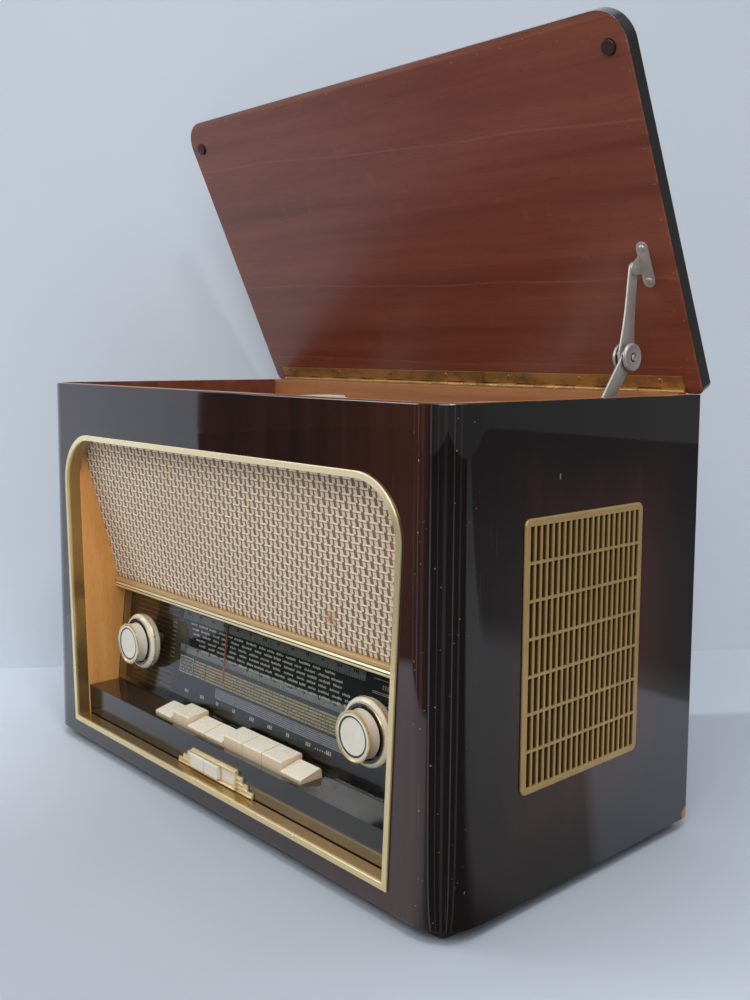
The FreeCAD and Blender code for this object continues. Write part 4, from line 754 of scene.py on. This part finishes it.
dialLook = {
    "lean": 7.37, "setback": 49.2, "low": 63.5, "plateAt": 11.0, "seed": 7,
    "inks": {  # colour, and height over the plate in mm
        "brown": ((0.030, 0.017, 0.011), 0.03), "black": ((0.008, 0.008, 0.009), 0.05),
        "grey": ((0.30, 0.295, 0.26), 0.08), "gold": ((0.62, 0.49, 0.21), 0.08),
        "lilac": ((0.40, 0.39, 0.41), 0.08), "pale": ((0.86, 0.81, 0.68), 0.12),
    },
    # fields in mm on the plate: left, low, right, high
    "left": (-240, 3, -152, 104), "right": (-150, 3, 240, 104),
    "rulers": ((-144, 89.5, 150, 98), (-144, 54.5, 150, 62.5)),
    "chequer": (-142, 33, -117, 50.5), "lilac": (-72, 20.5, 150, 30.5),
    "upright": (-94, 32.6, -92.6, 51.4),
    "repeats": (  # ink, count, first field, step across and up, lift
        ("gold", 9, (-163, 44, -155, 45.4), (0, 4.6), 0.0),  # beside the left knob
        ("black", 5, (-70, 22.0, 148, 22.5), (0, 1.8), 0.06),  # lines of the lilac field
        ("pale", 6, (92, 14.2, 93.4, 15.6), (3.4, 0), 0.0),
        ("gold", 9, (172, 87.6, 174.1, 91.7), (3.1, 0), 0.0),
    ),
    "rules": (160, 214, (95, 84, 82.6, 74)),  # short rules at the right end
    "ticks": (98, 3.0), "numbers": (13, 22.5),  # count and pitch on each ruler
    "bandEnd": 150, "markEnds": (-126, 112), "markTop": 85.6, "markPitch": 4.9, "keyMarks": (-128, 29.5),
}


def makeInk(name, colour):
    startFinish(name)
    fade = noise(150.0, 3.0, 0.6)
    colour = ramp(fade, [(0.3, darker(colour, 0.72)), (0.6, colour)])
    setLook(colour, between(fade, 0.35, 0.5), others={"Specular IOR Level": 0.2})


def addDial():
    look = dialLook
    lean = math.radians(look["lean"])
    up = Vector((0, math.sin(lean), math.cos(lean)))
    out = Vector((0, -math.cos(lean), math.sin(lean)))
    foot = Vector((0, frontPlane + look["setback"] * mm, look["low"] * mm)) - out * look["plateAt"] * mm
    forms = {ink: bmesh.new() for ink in look["inks"]}

    def lay(ink, left, low, right, high, lift=0.0):
        form = forms[ink]
        level = foot + out * (look["inks"][ink][1] + lift) * mm
        corners = ((left, low), (right, low), (right, high), (left, high))
        form.faces.new([form.verts.new(level + xAxis * x * mm + up * a * mm) for x, a in corners])

    dice = random.Random(look["seed"])
    lay("brown", *look["left"])
    for i in range(19):  # fine lines beside the left knob
        lay("gold", -238, 6 + 5.2 * i, -156 - (9 if 6 < i < 14 else 0), 6.3 + 5.2 * i)
    lay("black", *look["right"])
    for left, low, right, high in look["rulers"]:  # two grey rulers with dark ticks
        lay("grey", left, low, right, high)
        for i in range(look["ticks"][0]):
            x = left + 2 + look["ticks"][1] * i
            tall = 0.55 if i % 10 == 0 else 0.42 if i % 5 == 0 else 0.26
            lay("black", x, low, x + 0.6, low + (high - low) * tall, 0.06)
        for i in range(look["numbers"][0]):
            x = left + 8 + look["numbers"][1] * i
            for k in range(dice.choice((2, 3))):
                lay("black", x + 2.4 * k, high - 3.6, x + 2.4 * k + 1.6, high - 0.9, 0.06)
    for row in range(6):  # rows of short marks
        a = look["markTop"] - look["markPitch"] * row
        x = look["markEnds"][0] + 3.5 * row + dice.uniform(-4, 4)
        while x < look["markEnds"][1] + 4 * row:
            length = dice.uniform(9, 16)
            stroke = x
            while stroke < x + length:
                wide = dice.uniform(0.9, 1.7)
                lay("pale", stroke, a - dice.uniform(0, 0.3), stroke + wide, a + dice.uniform(1.4, 2.3))
                stroke += wide + 0.5
            x += length + dice.uniform(3, 6.5)
    for field in frameOf(*look["chequer"], 1):  # framed chequer at the end of the gilt band
        lay("pale", *field)
    left, low, right, high = look["chequer"]
    for i in range(6):
        for k in range(4):
            x, a = left + 2.2 + 3.6 * i, low + 2 + 3.5 * k
            lay("gold" if (i + k) % 2 else "grey", x, a, x + 2.8, a + 2.6, 0.03)
    for i in range(6):  # the gilt band, six lines with gaps
        a = low + 0.2 + 3.0 * i
        lay("gold", right + 2, a, look["bandEnd"], a + 1.9)
        for k in range(52):
            if dice.random() < 0.5:
                x = right + 4 + 5.0 * k + dice.uniform(-0.5, 0.5)
                lay("brown", x, a + 0.4, x + dice.uniform(0.5, 1.8), a + 1.6, 0.07)
    lay("brown", *look["upright"], 0.08)
    lay("lilac", *look["lilac"])
    for i in range(9):  # marks over the keys
        x = look["keyMarks"][0] + look["keyMarks"][1] * i
        for k in range(dice.choice((2, 3))):
            lay("pale", x + 2.6 * k, 13.8, x + 2.6 * k + 1.7, 17.4)
    for ink, count, (left, low, right, high), (across, climb), lift in look["repeats"]:
        for i in range(count):
            lay(ink, left + across * i, low + climb * i, right + across * i, high + climb * i, lift)
    left, right, levels = look["rules"]
    for a in levels:
        lay("pale", left, a, right, a + 0.6)
    for ink, form in forms.items():
        makeInk("ink_" + ink, look["inks"][ink][0])
        pieceFrom("dial_print_" + ink, form, ["ink_" + ink], "cabinet")
    makeInk("dial_black", look["inks"]["black"][0])
    for slot in nodes["dial_plate"].material_slots:
        slot.material = finishes["dial_black"]
    print("dial printed")


addDial()


# the two double knobs, turned on a lathe

knobLook = {
    "inner": [(0, 0.9, 0), (15.6, 0.9, 0), (16.0, 0.45, 1), (17.4, 0.45, 1), (17.8, 0.9, 0),
              (19.2, 0.9, 0), (20.6, 0.1, 2), (21.5, 0.5, 2), (21.75, 1.6, 2), (21.5, 2.4, 0),
              (20.9, 4.0, 0), (20.5, 7.5, 0), (20.7, 11.2, 0), (20.9, 12.0, 0), (3.2, 12.0, 0)],
    # painted shade: the outer knob's dish and front ring, round the inner knob, take the black finish for the dark
    # gap between the knobs
    "outer": [(5.4, 3.6, 0), (22.4, 3.6, 1), (22.5, 0.4, 1), (23.0, 0.0, 1), (25.0, 0.0, 1),
              (25.4, 0.5, 2), (26.1, 0.7, 2), (26.5, 0.6, 0), (28.3, 1.5, 0), (29.5, 3.1, 0),
              (29.9, 4.6, 2), (30.0, 5.6, 2), (29.8, 6.6, 0), (28.6, 9.4, 0), (27.8, 11.0, 0),
              (5.4, 11.0, 0)],
    "innerShaft": (3.0, 12.0), "outerShaft": (5.0, 11.0),  # radius and start
    "finishes": ["ivory_plastic", "black_gloss", "gilt_bright", "nickel_plate"],
    "turns": 72, "shaftTurns": 32,
}


def addKnob(node, kind):
    low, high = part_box(node)
    centre = (low + high) / 2
    centre.y = low.y
    radius, start = knobLook[kind + "Shaft"]
    end = (high.y - low.y) / mm
    shaft = [(0, start, 3), (radius, start, 3), (radius, end, 3), (0, end, 3)]
    form = lathe(knobLook[kind], centre, steps=knobLook["turns"])
    addTo(form, lathe(shaft, centre, steps=knobLook["shaftTurns"]))
    standIn(node, "_turned", form, knobLook["finishes"], 28)


for inner, outer in (("volume_knob", "bass_knob"), ("tuning_knob", "treble_knob")):
    addKnob(inner, "inner")
    addKnob(outer, "outer")
print("knobs turned")


# lid stay: two curved arms with friction discs, and the lid bracket

stayLook = {
    "knuckle": (90.151, 432.5),
    "upper": ((0, 6.0), (0.15, 6.2), (0.3, 6.3), (0.5, 6.8), (0.68, 7.9), (0.84, 9.6), (1.0, 11.2)),
    "lower": ((0, 6.0), (0.15, 6.6), (0.4, 7.2), (0.65, 7.7), (0.85, 8.0), (1.0, 8.0)),  # half widths
    "disc": ((0, 0.0), (1.6, 0.0), (2.3, 0.35), (2.9, 0.9), (3.0, 1.5, 1), (3.9, 1.5, 1), (4.1, 1.05),
             (9.6, 1.0), (10.0, 0.8), (11.2, 0.8), (12.0, 1.3), (12.4, 2.2), (12.4, 3.7), (12.0, 4.0),
             (11.3, 4.1, 1), (11.3, 5.55, 1), (0, 5.55, 1)),
    "rivet": ((0, -0.3), (1.4, -0.3), (2.6, 0.1), (3.2, 0.5), (3.2, 0.9), (0, 0.9)),
    "screw": ((0, 1.1), (0.5, 1.1), (0.6, 1.5), (1.6, 1.35), (2.7, 0.9), (3.3, 0.2),
              (3.3, -0.4), (0, -0.4)),
    "screwIn": 0.006, "eye": 0.007, "earHalf": 0.0085, "earRound": 0.006, "earThick": 0.0015,
    "edge": 0.35, "footEdge": 0.4, "earEdge": 0.3,
}


def addStayArm(node, joint, halves, facing):  # facing: the side that carries the disc
    pivot = pivotOf[joint]
    knuckle = Vector((pivot.x, stayLook["knuckle"][0] * mm, stayLook["knuckle"][1] * mm))
    length = (knuckle - pivot).length
    ahead = (knuckle - pivot).normalized()
    atEye = [v.co.x for v in nodes[node].data.vertices
             if (Vector((pivot.x, v.co.y, v.co.z)) - pivot).length < stayLook["eye"]]
    left, right = min(atEye), max(atEye)
    upper = [(share * length, half * mm) for share, half in halves]
    outline = upper + halfRound(length, upper[-1][1], 0, 8)[1:-1]
    outline += [(u, -w) for u, w in reversed(upper)] + halfRound(0, upper[0][1], math.pi, 8)[1:-1]
    start = Vector((left, pivot.y, pivot.z))
    form = prism(outline, start, ahead, xAxis.cross(ahead), xAxis * (right - left))
    soften(form, stayLook["edge"], 2, 40)
    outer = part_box(node)[1 if facing > 0 else 0].x
    eye = Vector((left if facing > 0 else right, pivot.y, pivot.z))
    addTo(form, lathe(stayLook["disc"], Vector((outer, knuckle.y, knuckle.z)), (-facing, 0, 0), 56))
    addTo(form, lathe(stayLook["rivet"], eye, (facing, 0, 0), 32))
    standIn(node, "_formed", form, ["nickel_plate", "black_gloss"], 32)


def addStayBracket():
    low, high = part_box("stay_bracket")
    spots = [v.co for v in nodes["stay_bracket"].data.vertices]
    footSpots = [c for c in spots if c.x > high.x - 0.002]
    under = min(c.dot(lidIn) for c in footSpots)
    thick = max(c.dot(lidIn) for c in footSpots) - under
    first, last = (f(c.dot(lidAlong) for c in footSpots) for f in (min, max))
    left = min(c.x for c in spots if c.dot(lidIn) < under + 0.5 * thick)
    half = (high.x - left) / 2
    middle = xAxis * ((left + high.x) / 2) + lidIn * under
    outline = halfRound(last - half, half) + halfRound(first + half, half, math.pi)
    form = prism(outline, middle, lidAlong, xAxis, lidIn * thick)
    soften(form, stayLook["footEdge"], 2, 40)
    pivot = pivotOf["stay_upper_pivot"]  # folded ear with a round head
    ear = [(-stayLook["earHalf"], 0.0), (stayLook["earHalf"], 0.0)]
    ear += [(u, w) for w, u in halfRound(pivot.dot(lidIn) - under, stayLook["earRound"])]
    base = xAxis * left + lidIn * under + lidAlong * pivot.dot(lidAlong)
    wall = prism(ear, base, lidAlong, lidIn, xAxis * stayLook["earThick"])
    soften(wall, stayLook["earEdge"], 2, 40)
    addTo(form, wall)
    reach = (left - low.x) / mm
    pin = ((0, 0), (2.5, 0), (2.5, reach + 1.5), (1.5, reach + 2.2), (0, reach + 2.3))
    addTo(form, lathe(pin, Vector((low.x, pivot.y, pivot.z)), (1, 0, 0), 32))
    for spot in (first + stayLook["screwIn"], last - stayLook["screwIn"]):
        centre = xAxis * middle.x + lidAlong * spot + lidIn * (under + thick)
        addTo(form, lathe(stayLook["screw"], centre, lidIn, 28))
    standIn("stay_bracket", "_formed", form, ["nickel_plate"], 32)


addStayArm("stay_upper_arm", "stay_upper_pivot", stayLook["upper"], -1)
addStayArm("stay_lower_arm", "stay_lower_pivot", stayLook["lower"], 1)
addStayBracket()
print("lid stay done")


# tone button frame: thin stepped plate, rounded rim and ribbed wings

buttonFrame = {
    "sink": 2.2, "lap": 0.4, "rim": 1.7, "gap": 0.9, "plateEdge": 0.3, "rimEdge": 0.6,
    "ribs": 4, "rib": 1.3, "ribEdge": 0.35, "ribBack": 0.0008, "ribShorter": 0.24, "ribReach": 0.96,
    "ribFoot": 0.0008, "ribHead": 0.003, "ribSpread": 4.2,
}


def bar(form, low, high, edge):
    made = bmesh.ops.create_cube(form, size=1.0)["verts"]
    span, middle = high - low, (low + high) / 2
    for v in made:
        v.co = Vector((v.co.x * span.x, v.co.y * span.y, v.co.z * span.z)) + middle
    bevel(form, list({e for v in made for e in v.link_edges}), edge, 2)


def addButtonFrame():
    look = buttonFrame
    low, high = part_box("button_frame")
    form = cleanCopy("button_frame")
    for v in form.verts:
        if v.co.y < low.y + 0.0005:
            v.co.y += look["sink"] * mm
    form.normal_update()
    soften(form, look["plateEdge"], 2, 40)
    first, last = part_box("tone_button_1"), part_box("tone_button_3")
    rear = low.y + (look["sink"] + look["lap"]) * mm
    around = (look["gap"] + look["rim"]) * mm
    left, right = first[0].x - around, last[1].x + around
    foot, head = max(low.z, first[0].z - around), min(high.z, first[1].z + around)
    for x, z, endX, endZ in frameOf(left, foot, right, head, look["rim"] * mm):
        bar(form, Vector((x, low.y, z)), Vector((endX, rear, endZ)), look["rimEdge"])
    for inner, tip in ((left, low.x), (right, high.x)):
        for i in range(look["ribs"]):  # ribs, shorter towards the top
            base = low.z + look["ribFoot"] + i * (high.z - low.z - look["ribHead"]) / look["ribSpread"]
            reach = inner + (tip - inner) * (1 - look["ribShorter"] * i) * look["ribReach"]
            start, end = sorted((inner, reach))
            bar(form, Vector((start, low.y + look["ribBack"], base)),
                Vector((end, rear, base + look["rib"] * mm)), look["ribEdge"])
    standIn("button_frame", "_ribbed", form, ["gilt_pale"], 32)


addButtonFrame()
print("button frame done")


# small fittings: slotted screws and the record mat

screwLook = {
    "head": ((0, 0.36), (0.45, 0.33), (0.8, 0.2), (1, 0.0), (1, -0.3), (0, -0.3)),  # shares of the radius
    "slot": 0.22, "slotLong": 0.72, "slotAt": 0.37, "steps": 24,
    "coverEdge": 0.009, "coverX": (-0.285, -0.145, 0.0, 0.145, 0.285),
    "hingeIn": 0.0045, "hingeCount": 7, "deckIn": 0.013, "deckHigh": 0.010,
    "anchorBack": 0.0025, "anchorOff": 0.0085,
    "kinds": {  # radius, body, finish and slot
        "back_cover": (3.6, "cabinet", "aged_brass", "aged_brass"),
        "hinge_leaf": (2.3, "lid", "aged_brass", "aged_brass"),
        "deck": (3.2, "cabinet", "nickel_plate", "nickel"),
        "anchor": (2.0, "cabinet", "nickel_plate", "nickel"),
    },
}


def addScrews(kind, spots, facing):
    radius, body, surface, slot = screwLook["kinds"][kind]
    form = bmesh.new()
    facing = Vector(facing).normalized()
    side = facing.orthogonal().normalized()
    dice = random.Random(len(spots))
    reach = radius * mm
    head = [(r * radius, h * radius) for r, h in screwLook["head"]]
    for spot in spots:
        addTo(form, lathe(head, Vector(spot), facing, screwLook["steps"]))
        turn = Matrix.Rotation(dice.uniform(0, math.pi), 3, facing)
        long = turn @ side * screwLook["slotLong"] * reach
        wide = turn @ facing.cross(side) * screwLook["slot"] * 0.5 * reach
        level = Vector(spot) + facing * screwLook["slotAt"] * reach
        # painted shade: the slot is a black sheet laid just over the head, standing for the dark recess
        corners = [level + long * a + wide * b for a, b in ((-1, -1), (1, -1), (1, 1), (-1, 1))]
        face = form.faces.new([form.verts.new(c) for c in corners])
        face.material_index = 1
        if face.normal.dot(facing) < 0:
            face.normal_flip()
    pieceFrom(kind + "_screws", form, [surface, "black_gloss"], body)


def addFittings():
    look = screwLook
    low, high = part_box("back_cover")
    edge = look["coverEdge"]
    spots = [(x, high.y, z) for z in (low.z + edge, high.z - edge) for x in look["coverX"]]
    spots += [(x, high.y, (low.z + high.z) / 2) for x in (low.x + edge, high.x - edge)]
    addScrews("back_cover", spots, (0, 1, 0))
    leaf = [v.co for v in nodes["hinge_lid_leaf"].data.vertices]
    far = max(c.dot(lidAlong) for c in leaf)
    face = max(c.dot(lidIn) for c in leaf if c.dot(lidAlong) > far - 0.004)
    first, last = min(c.x for c in leaf), max(c.x for c in leaf)
    base = lidAlong * (far - look["hingeIn"]) + lidIn * face
    shares = [0.04 + 0.92 * i / (look["hingeCount"] - 1) for i in range(look["hingeCount"])]
    spots = [xAxis * (first + (last - first) * share) + base for share in shares]
    addScrews("hinge_leaf", spots, lidIn)
    low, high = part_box("deck_plate")
    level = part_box("motor_board")[1].z + look["deckHigh"]
    edge = look["deckIn"]
    spots = [(x, y, level) for x in (low.x + edge, high.x - edge) for y in (low.y + edge, high.y - edge)]
    addScrews("deck", spots, (0, 0, 1))
    low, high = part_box("stay_anchor")
    middle = (low + high) / 2
    spots = [(high.x - look["anchorBack"], middle.y + s * look["anchorOff"], middle.z) for s in (-1, 1)]
    addScrews("anchor", spots, (-1, 0, 0))


matLook = {
    "hole": 6.0, "dish": (12.0, 44.0), "label": 48.0,  # radii
    "ribFrom": 54.0, "ribTo": 115.0, "pitch": 3.05, "dip": 0.55, "turns": 128,
}


def addRecordMat():
    look = matLook
    low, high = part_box("platter_mat")
    centre = (low + high) / 2
    centre.z = low.z
    top, wide = (high.z - low.z) / mm, (high.x - low.x) / 2 / mm
    dip = top - look["dip"]
    hole, label, r = look["hole"], look["label"], look["ribFrom"]
    first, last = look["dish"]
    profile = [(hole, 0), (hole, top - 0.3), (hole + 0.4, top), (first, top), (first + 0.5, dip),
               (last, dip), (last + 0.6, top), (label, top), (label + 0.6, dip)]
    while r < look["ribTo"]:
        profile += [(r, dip), (r + 0.35, top), (r + 1.5, top), (r + 1.85, dip)]
        r += look["pitch"]
    profile += [(wide - 3.4, dip), (wide - 3.0, top), (wide - 0.7, top), (wide, top - 0.7), (wide, 0)]
    profile.append((hole, 0))
    form = lathe(profile, centre, (0, 0, 1), look["turns"])
    standIn("platter_mat", "_ribbed", form, ["rubber_black"], 30)


addFittings()
addRecordMat()
print("fittings done")


# light line of bare veneer along the inner rim of the cabinet

rimLine = {"width": 3.4, "lift": 0.12, "radius": 26.0, "drop": 0.5, "tuck": -0.05, "steps": 12}


def rimPath(grow):
    radius = rimLine["radius"] * mm
    reach = radius + grow
    middleX, middleY = innerHalf - radius, frontPlane + (halfWidth - innerHalf) + radius
    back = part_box("side_panel_right")[1].y - 0.001
    points = [(-innerHalf - grow, back)]
    for x, start in ((-middleX, math.pi), (middleX, 1.5 * math.pi)):
        for i in range(rimLine["steps"] + 1):
            angle = start + 0.5 * math.pi * i / rimLine["steps"]
            points.append((x + reach * math.cos(angle), middleY + reach * math.sin(angle)))
    return points + [(innerHalf + grow, back)]


def addRimLine():
    form = bmesh.new()
    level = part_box("front_panel")[1].z + rimLine["lift"] * mm
    low = level - rimLine["drop"] * mm
    tuck, width = rimLine["tuck"], rimLine["width"]
    rows = [[form.verts.new((x, y, z)) for x, y in rimPath(grow * mm)]
            for grow, z in ((tuck, low), (tuck, level), (width, level), (width, low))]
    for a, b in zip(rows, rows[1:]):
        for i in range(len(a) - 1):
            form.faces.new((a[i], a[i + 1], b[i + 1], b[i]))
    bmesh.ops.recalc_face_normals(form, faces=form.faces)
    pieceFrom("rim_line", form, ["rim_wood"], "cabinet")


addRimLine()


# stage, light and camera

stageLook = {
    "floor": (0.53, 0.57, 0.63),
    "wall": (0.60, 0.64, 0.69),
    "wallPaintedLight": ((0.0, 1.16), (0.5, 1.0), (1.0, 0.85)),  # painted light: the wall is painted paler towards the floor
    "floorPaintedLight": ((1.26, 0.78, -0.5, 0.05), (0.0, 0.28, 0.2, 0.6)),  # painted light and shade on the floor, darkest before the front
    "facing": (0.81, -0.587),
    "wallAt": -0.40,
    "wallEnds": (-1.395, 4.0),
    "seamAt": (-0.142, 0.02),
    "floorEdge": ((-4, -4), (4, -4), (4, 4), (-4, 4)),
    "table": ((-1.2, 0.29), (-0.66, 0.0)),  # what mirrors see of the floor: before the front
    "tableSide": (0.47, 1.27, -0.385),  # and beside the right side: far limit, slant and start
    "beyond": (0.03, 0.03, 0.032),
    "beyondRight": ((0.24, 0.235, 0.235), (0.42, 0.43, 0.43)),
    "nearCorner": (0.302, -0.156),
    "rightFade": (0.35, 0.95), "rightEnd": (0, 0.7, 0.42, 0.62),
    "rightX": (0.30, 0.33), "rightY": (-0.14, -0.05),
    "strip": (0.545, 0.59, 0.65),  # floor past the seam, as pale as the wall above it
    "stripX": (-0.3, 0.05),
}

roomLook = {
    "air": (0.40, 0.43, 0.475),
    "pale": (0.46, 0.50, 0.55),
    "dim": (0.050, 0.040, 0.037),
    "right": (0.16, 0.175, 0.18),
    "ceiling": (0.30, 0.31, 0.33),
    "paleFrom": (-1.3, -1.1), "paleTo": (0.560, 0.575),  # turns at which the pale wall starts and ends
    "rightFrom": (0.0, 0.3), "ceilingFrom": (0.25, 0.8),
    "streak": (0.52, 0.54, 0.58),
    "streaks": ((0.80, 0.015, 0.35), (1.02, 0.02, 0.7), (1.25, 0.05, 0.25), (1.62, 0.03, 1.0),
                (1.95, 0.015, 0.5), (2.25, 0.06, 0.3), (2.62, 0.02, 0.9), (2.9, 0.03, 0.4)),
}


def addStreaks(turn, colour):  # upright lights and gaps that mirrors see
    for middle, half, share in roomLook["streaks"]:
        edge = half * 0.4
        lit = times(between(turn, 0, share, middle - half - edge, middle - half, True),
                    fall(turn, middle + half, middle + half + edge, True))
        colour = mixColour(lit, colour, roomLook["streak"])
    return colour


def makeWall():
    startFinish("studio_wall")
    cloud = noise(2.2, 3.0)
    base = ramp(cloud, [(0.3, darker(stageLook["wall"], 0.97)), (0.7, stageLook["wall"])])
    base = mixColour(1.0, base, (2.0, 2.0, 2.0), "MULTIPLY")
    stops = [(at, (share / 2,) * 3) for at, share in stageLook["wallPaintedLight"]]  # halved: stops end at 1
    base = mixColour(1.0, base, ramp(axes()[2], stops), "MULTIPLY")
    shader = setLook(base, between(cloud, 0.8, 0.9), others={"Specular IOR Level": 0.2})
    behind = addNode("NewGeometry").outputs["Backfacing"]  # one-sided, never before the back
    clear = addNode("BsdfTransparent").outputs[0]
    both = addNode("MixShader", {0: behind, 1: shader.outputs[0], 2: clear})
    feed(tree.nodes["Material Output"], {"Surface": both.outputs[0]})


def makeFloor():
    look = stageLook
    startFinish("studio_floor")
    cloud = noise(2.2, 3.0)
    spot = axes()
    x, y = spot[:2]
    ray = addNode("LightPath")
    base = ramp(cloud, [(0.3, darker(look["floor"], 0.96)), (0.7, look["floor"])])
    # painted light and shade: the floor is painted darker before the front of the cabinet
    share = plus(*(between(x, *steps, True) for steps in look["floorPaintedLight"]))
    grey = addNode("CombineColor", {i: share for i in range(3)}).outputs[0]
    base = mixColour(1.0, base, grey, "MULTIPLY")
    before = times(*(band(c, *ends, 0.02, False) for c, ends in zip(spot, look["table"])))
    limit, slant, start = look["tableSide"]
    skew = minus(y, times(x, slant))
    beside = times(rise(skew, start - 0.01, start + 0.01),
                   fall(y, limit - 0.01, limit + 0.01), rise(x, 0.29, 0.31))
    hidden = times(minus(1.0, most(before, beside)), ray.outputs["Is Glossy Ray"])
    offX, offY = (minus(c, s) for c, s in zip(look["nearCorner"], spot))
    room = addStreaks(maths("ARCTAN2", offY, offX), look["beyond"])
    right = mixColour(rise(x, *look["rightFade"]), *look["beyondRight"])
    right = mixColour(between(y, *look["rightEnd"], True), right, look["beyond"])
    atRight = times(rise(x, *look["rightX"]), rise(y, *look["rightY"], True))
    base = mixColour(hidden, base, mixColour(atRight, room, right))
    seam, fade = look["seamAt"]
    far = fall(along(spot, look["facing"]), seam, seam + fade, True)
    far = times(far, rise(x, *look["stripX"], True))
    base = mixColour(times(far, ray.outputs["Is Camera Ray"]), base, look["strip"])
    setLook(base, between(cloud, 0.8, 0.9), others={"Specular IOR Level": 0.2})


def addStagePlane(name, corners, facing, drop=0.0):
    form = bmesh.new()
    form.faces.new([form.verts.new(c) for c in corners])
    form.normal_update()
    if sum(f.normal.dot(facing) for f in form.faces) < 0:
        bmesh.ops.reverse_faces(form, faces=form.faces)
    data = meshFrom(name, form)
    data.materials.append(finishes[name])
    item = bpy.data.objects.new(name, data)
    item.location.z = -drop
    scene.collection.objects.link(item)


def addStage():
    makeFloor()
    makeWall()
    corners = [(x, y, 0) for x, y in stageLook["floorEdge"]]
    addStagePlane("studio_floor", corners, Vector((0, 0, 1)), 0.0005)
    facing = Vector((*stageLook["facing"], 0)).normalized()
    side = Vector((-facing.y, facing.x, 0))
    first, last = stageLook["wallEnds"]
    ends = ((first, -0.01), (last, -0.01), (last, 4), (first, 4))
    middle = facing * stageLook["wallAt"]
    addStagePlane("studio_wall", [middle + side * u + Vector((0, 0, high)) for u, high in ends], facing)


lampLook = [  # place, aim, size, watts
    ((0.9, -0.5, 1.95), (0.0, 0.05, 0.35), 0.30, 7.5),
    ((1.5, -1.7, 2.1), (0.0, 0.0, 0.25), 1.6, 30.0),
    ((-1.6, -1.5, 1.5), (0.0, 0.0, 0.3), 1.2, 17.0),
    ((0.3, -0.2, 2.6), (0.0, 0.0, 0.2), 2.0, 18.0),
]


def addLamps():
    for i, (spot, aim, wide, watts) in enumerate(lampLook):
        data = bpy.data.lights.new(f"soft_lamp_{i}", "AREA")
        data.shape = "DISK"
        data.size = wide
        data.energy = watts
        lamp = bpy.data.objects.new(f"soft_lamp_{i}", data)
        lamp.location = spot
        lamp.rotation_euler = (Vector(aim) - Vector(spot)).to_track_quat("-Z", "Y").to_euler()
        scene.collection.objects.link(lamp)


def addRoom():  # mirrors see a pale wall, a dim room and a ceiling
    look = roomLook
    world = bpy.data.worlds.new("studio_air")
    startTree(world)
    x, y, z = axes(addNode("TexCoord").outputs["Generated"])
    turn = maths("ARCTAN2", times(y, -1.0), times(x, -1.0))
    pale = times(rise(turn, *look["paleFrom"], True), fall(turn, *look["paleTo"], True))
    room = mixColour(rise(x, *look["rightFrom"], True), look["dim"], look["right"])
    room = layers(addStreaks(turn, room), (pale, look["pale"]),
                  (rise(z, *look["ceilingFrom"], True), look["ceiling"]))
    colour = mixColour(addNode("LightPath").outputs["Is Glossy Ray"], look["air"], room)
    feed(tree.nodes["Background"], {"Color": colour, "Strength": 1.0})
    scene.world = world


cameraLook = {
    "spot": (0.81888, -0.69126, 0.43428),
    "right": (0.6719, 0.7406, 0.0066),
    "up": (-0.0760, 0.0601, 0.9953),
    "ahead": (-0.7367, 0.6692, -0.0967),
    "sensor": 36,
    "lens": 38.04,
    "shift": (-0.0042, -0.0436),
}


def addCamera():
    data = bpy.data.cameras.new("photo_camera")
    data.sensor_width = cameraLook["sensor"]
    data.lens = cameraLook["lens"]
    data.shift_x, data.shift_y = cameraLook["shift"]
    camera = bpy.data.objects.new("photo_camera", data)
    right, up, ahead = (Vector(cameraLook[k]).normalized() for k in ("right", "up", "ahead"))
    turned = Matrix((right, up, -ahead)).transposed().to_4x4()
    camera.matrix_world = Matrix.Translation(cameraLook["spot"]) @ turned
    scene.collection.objects.link(camera)
    scene.camera = camera


addStage()
addLamps()
addRoom()
addCamera()
scene.view_settings.view_transform = "Standard"
print("stage, lamps and camera done")
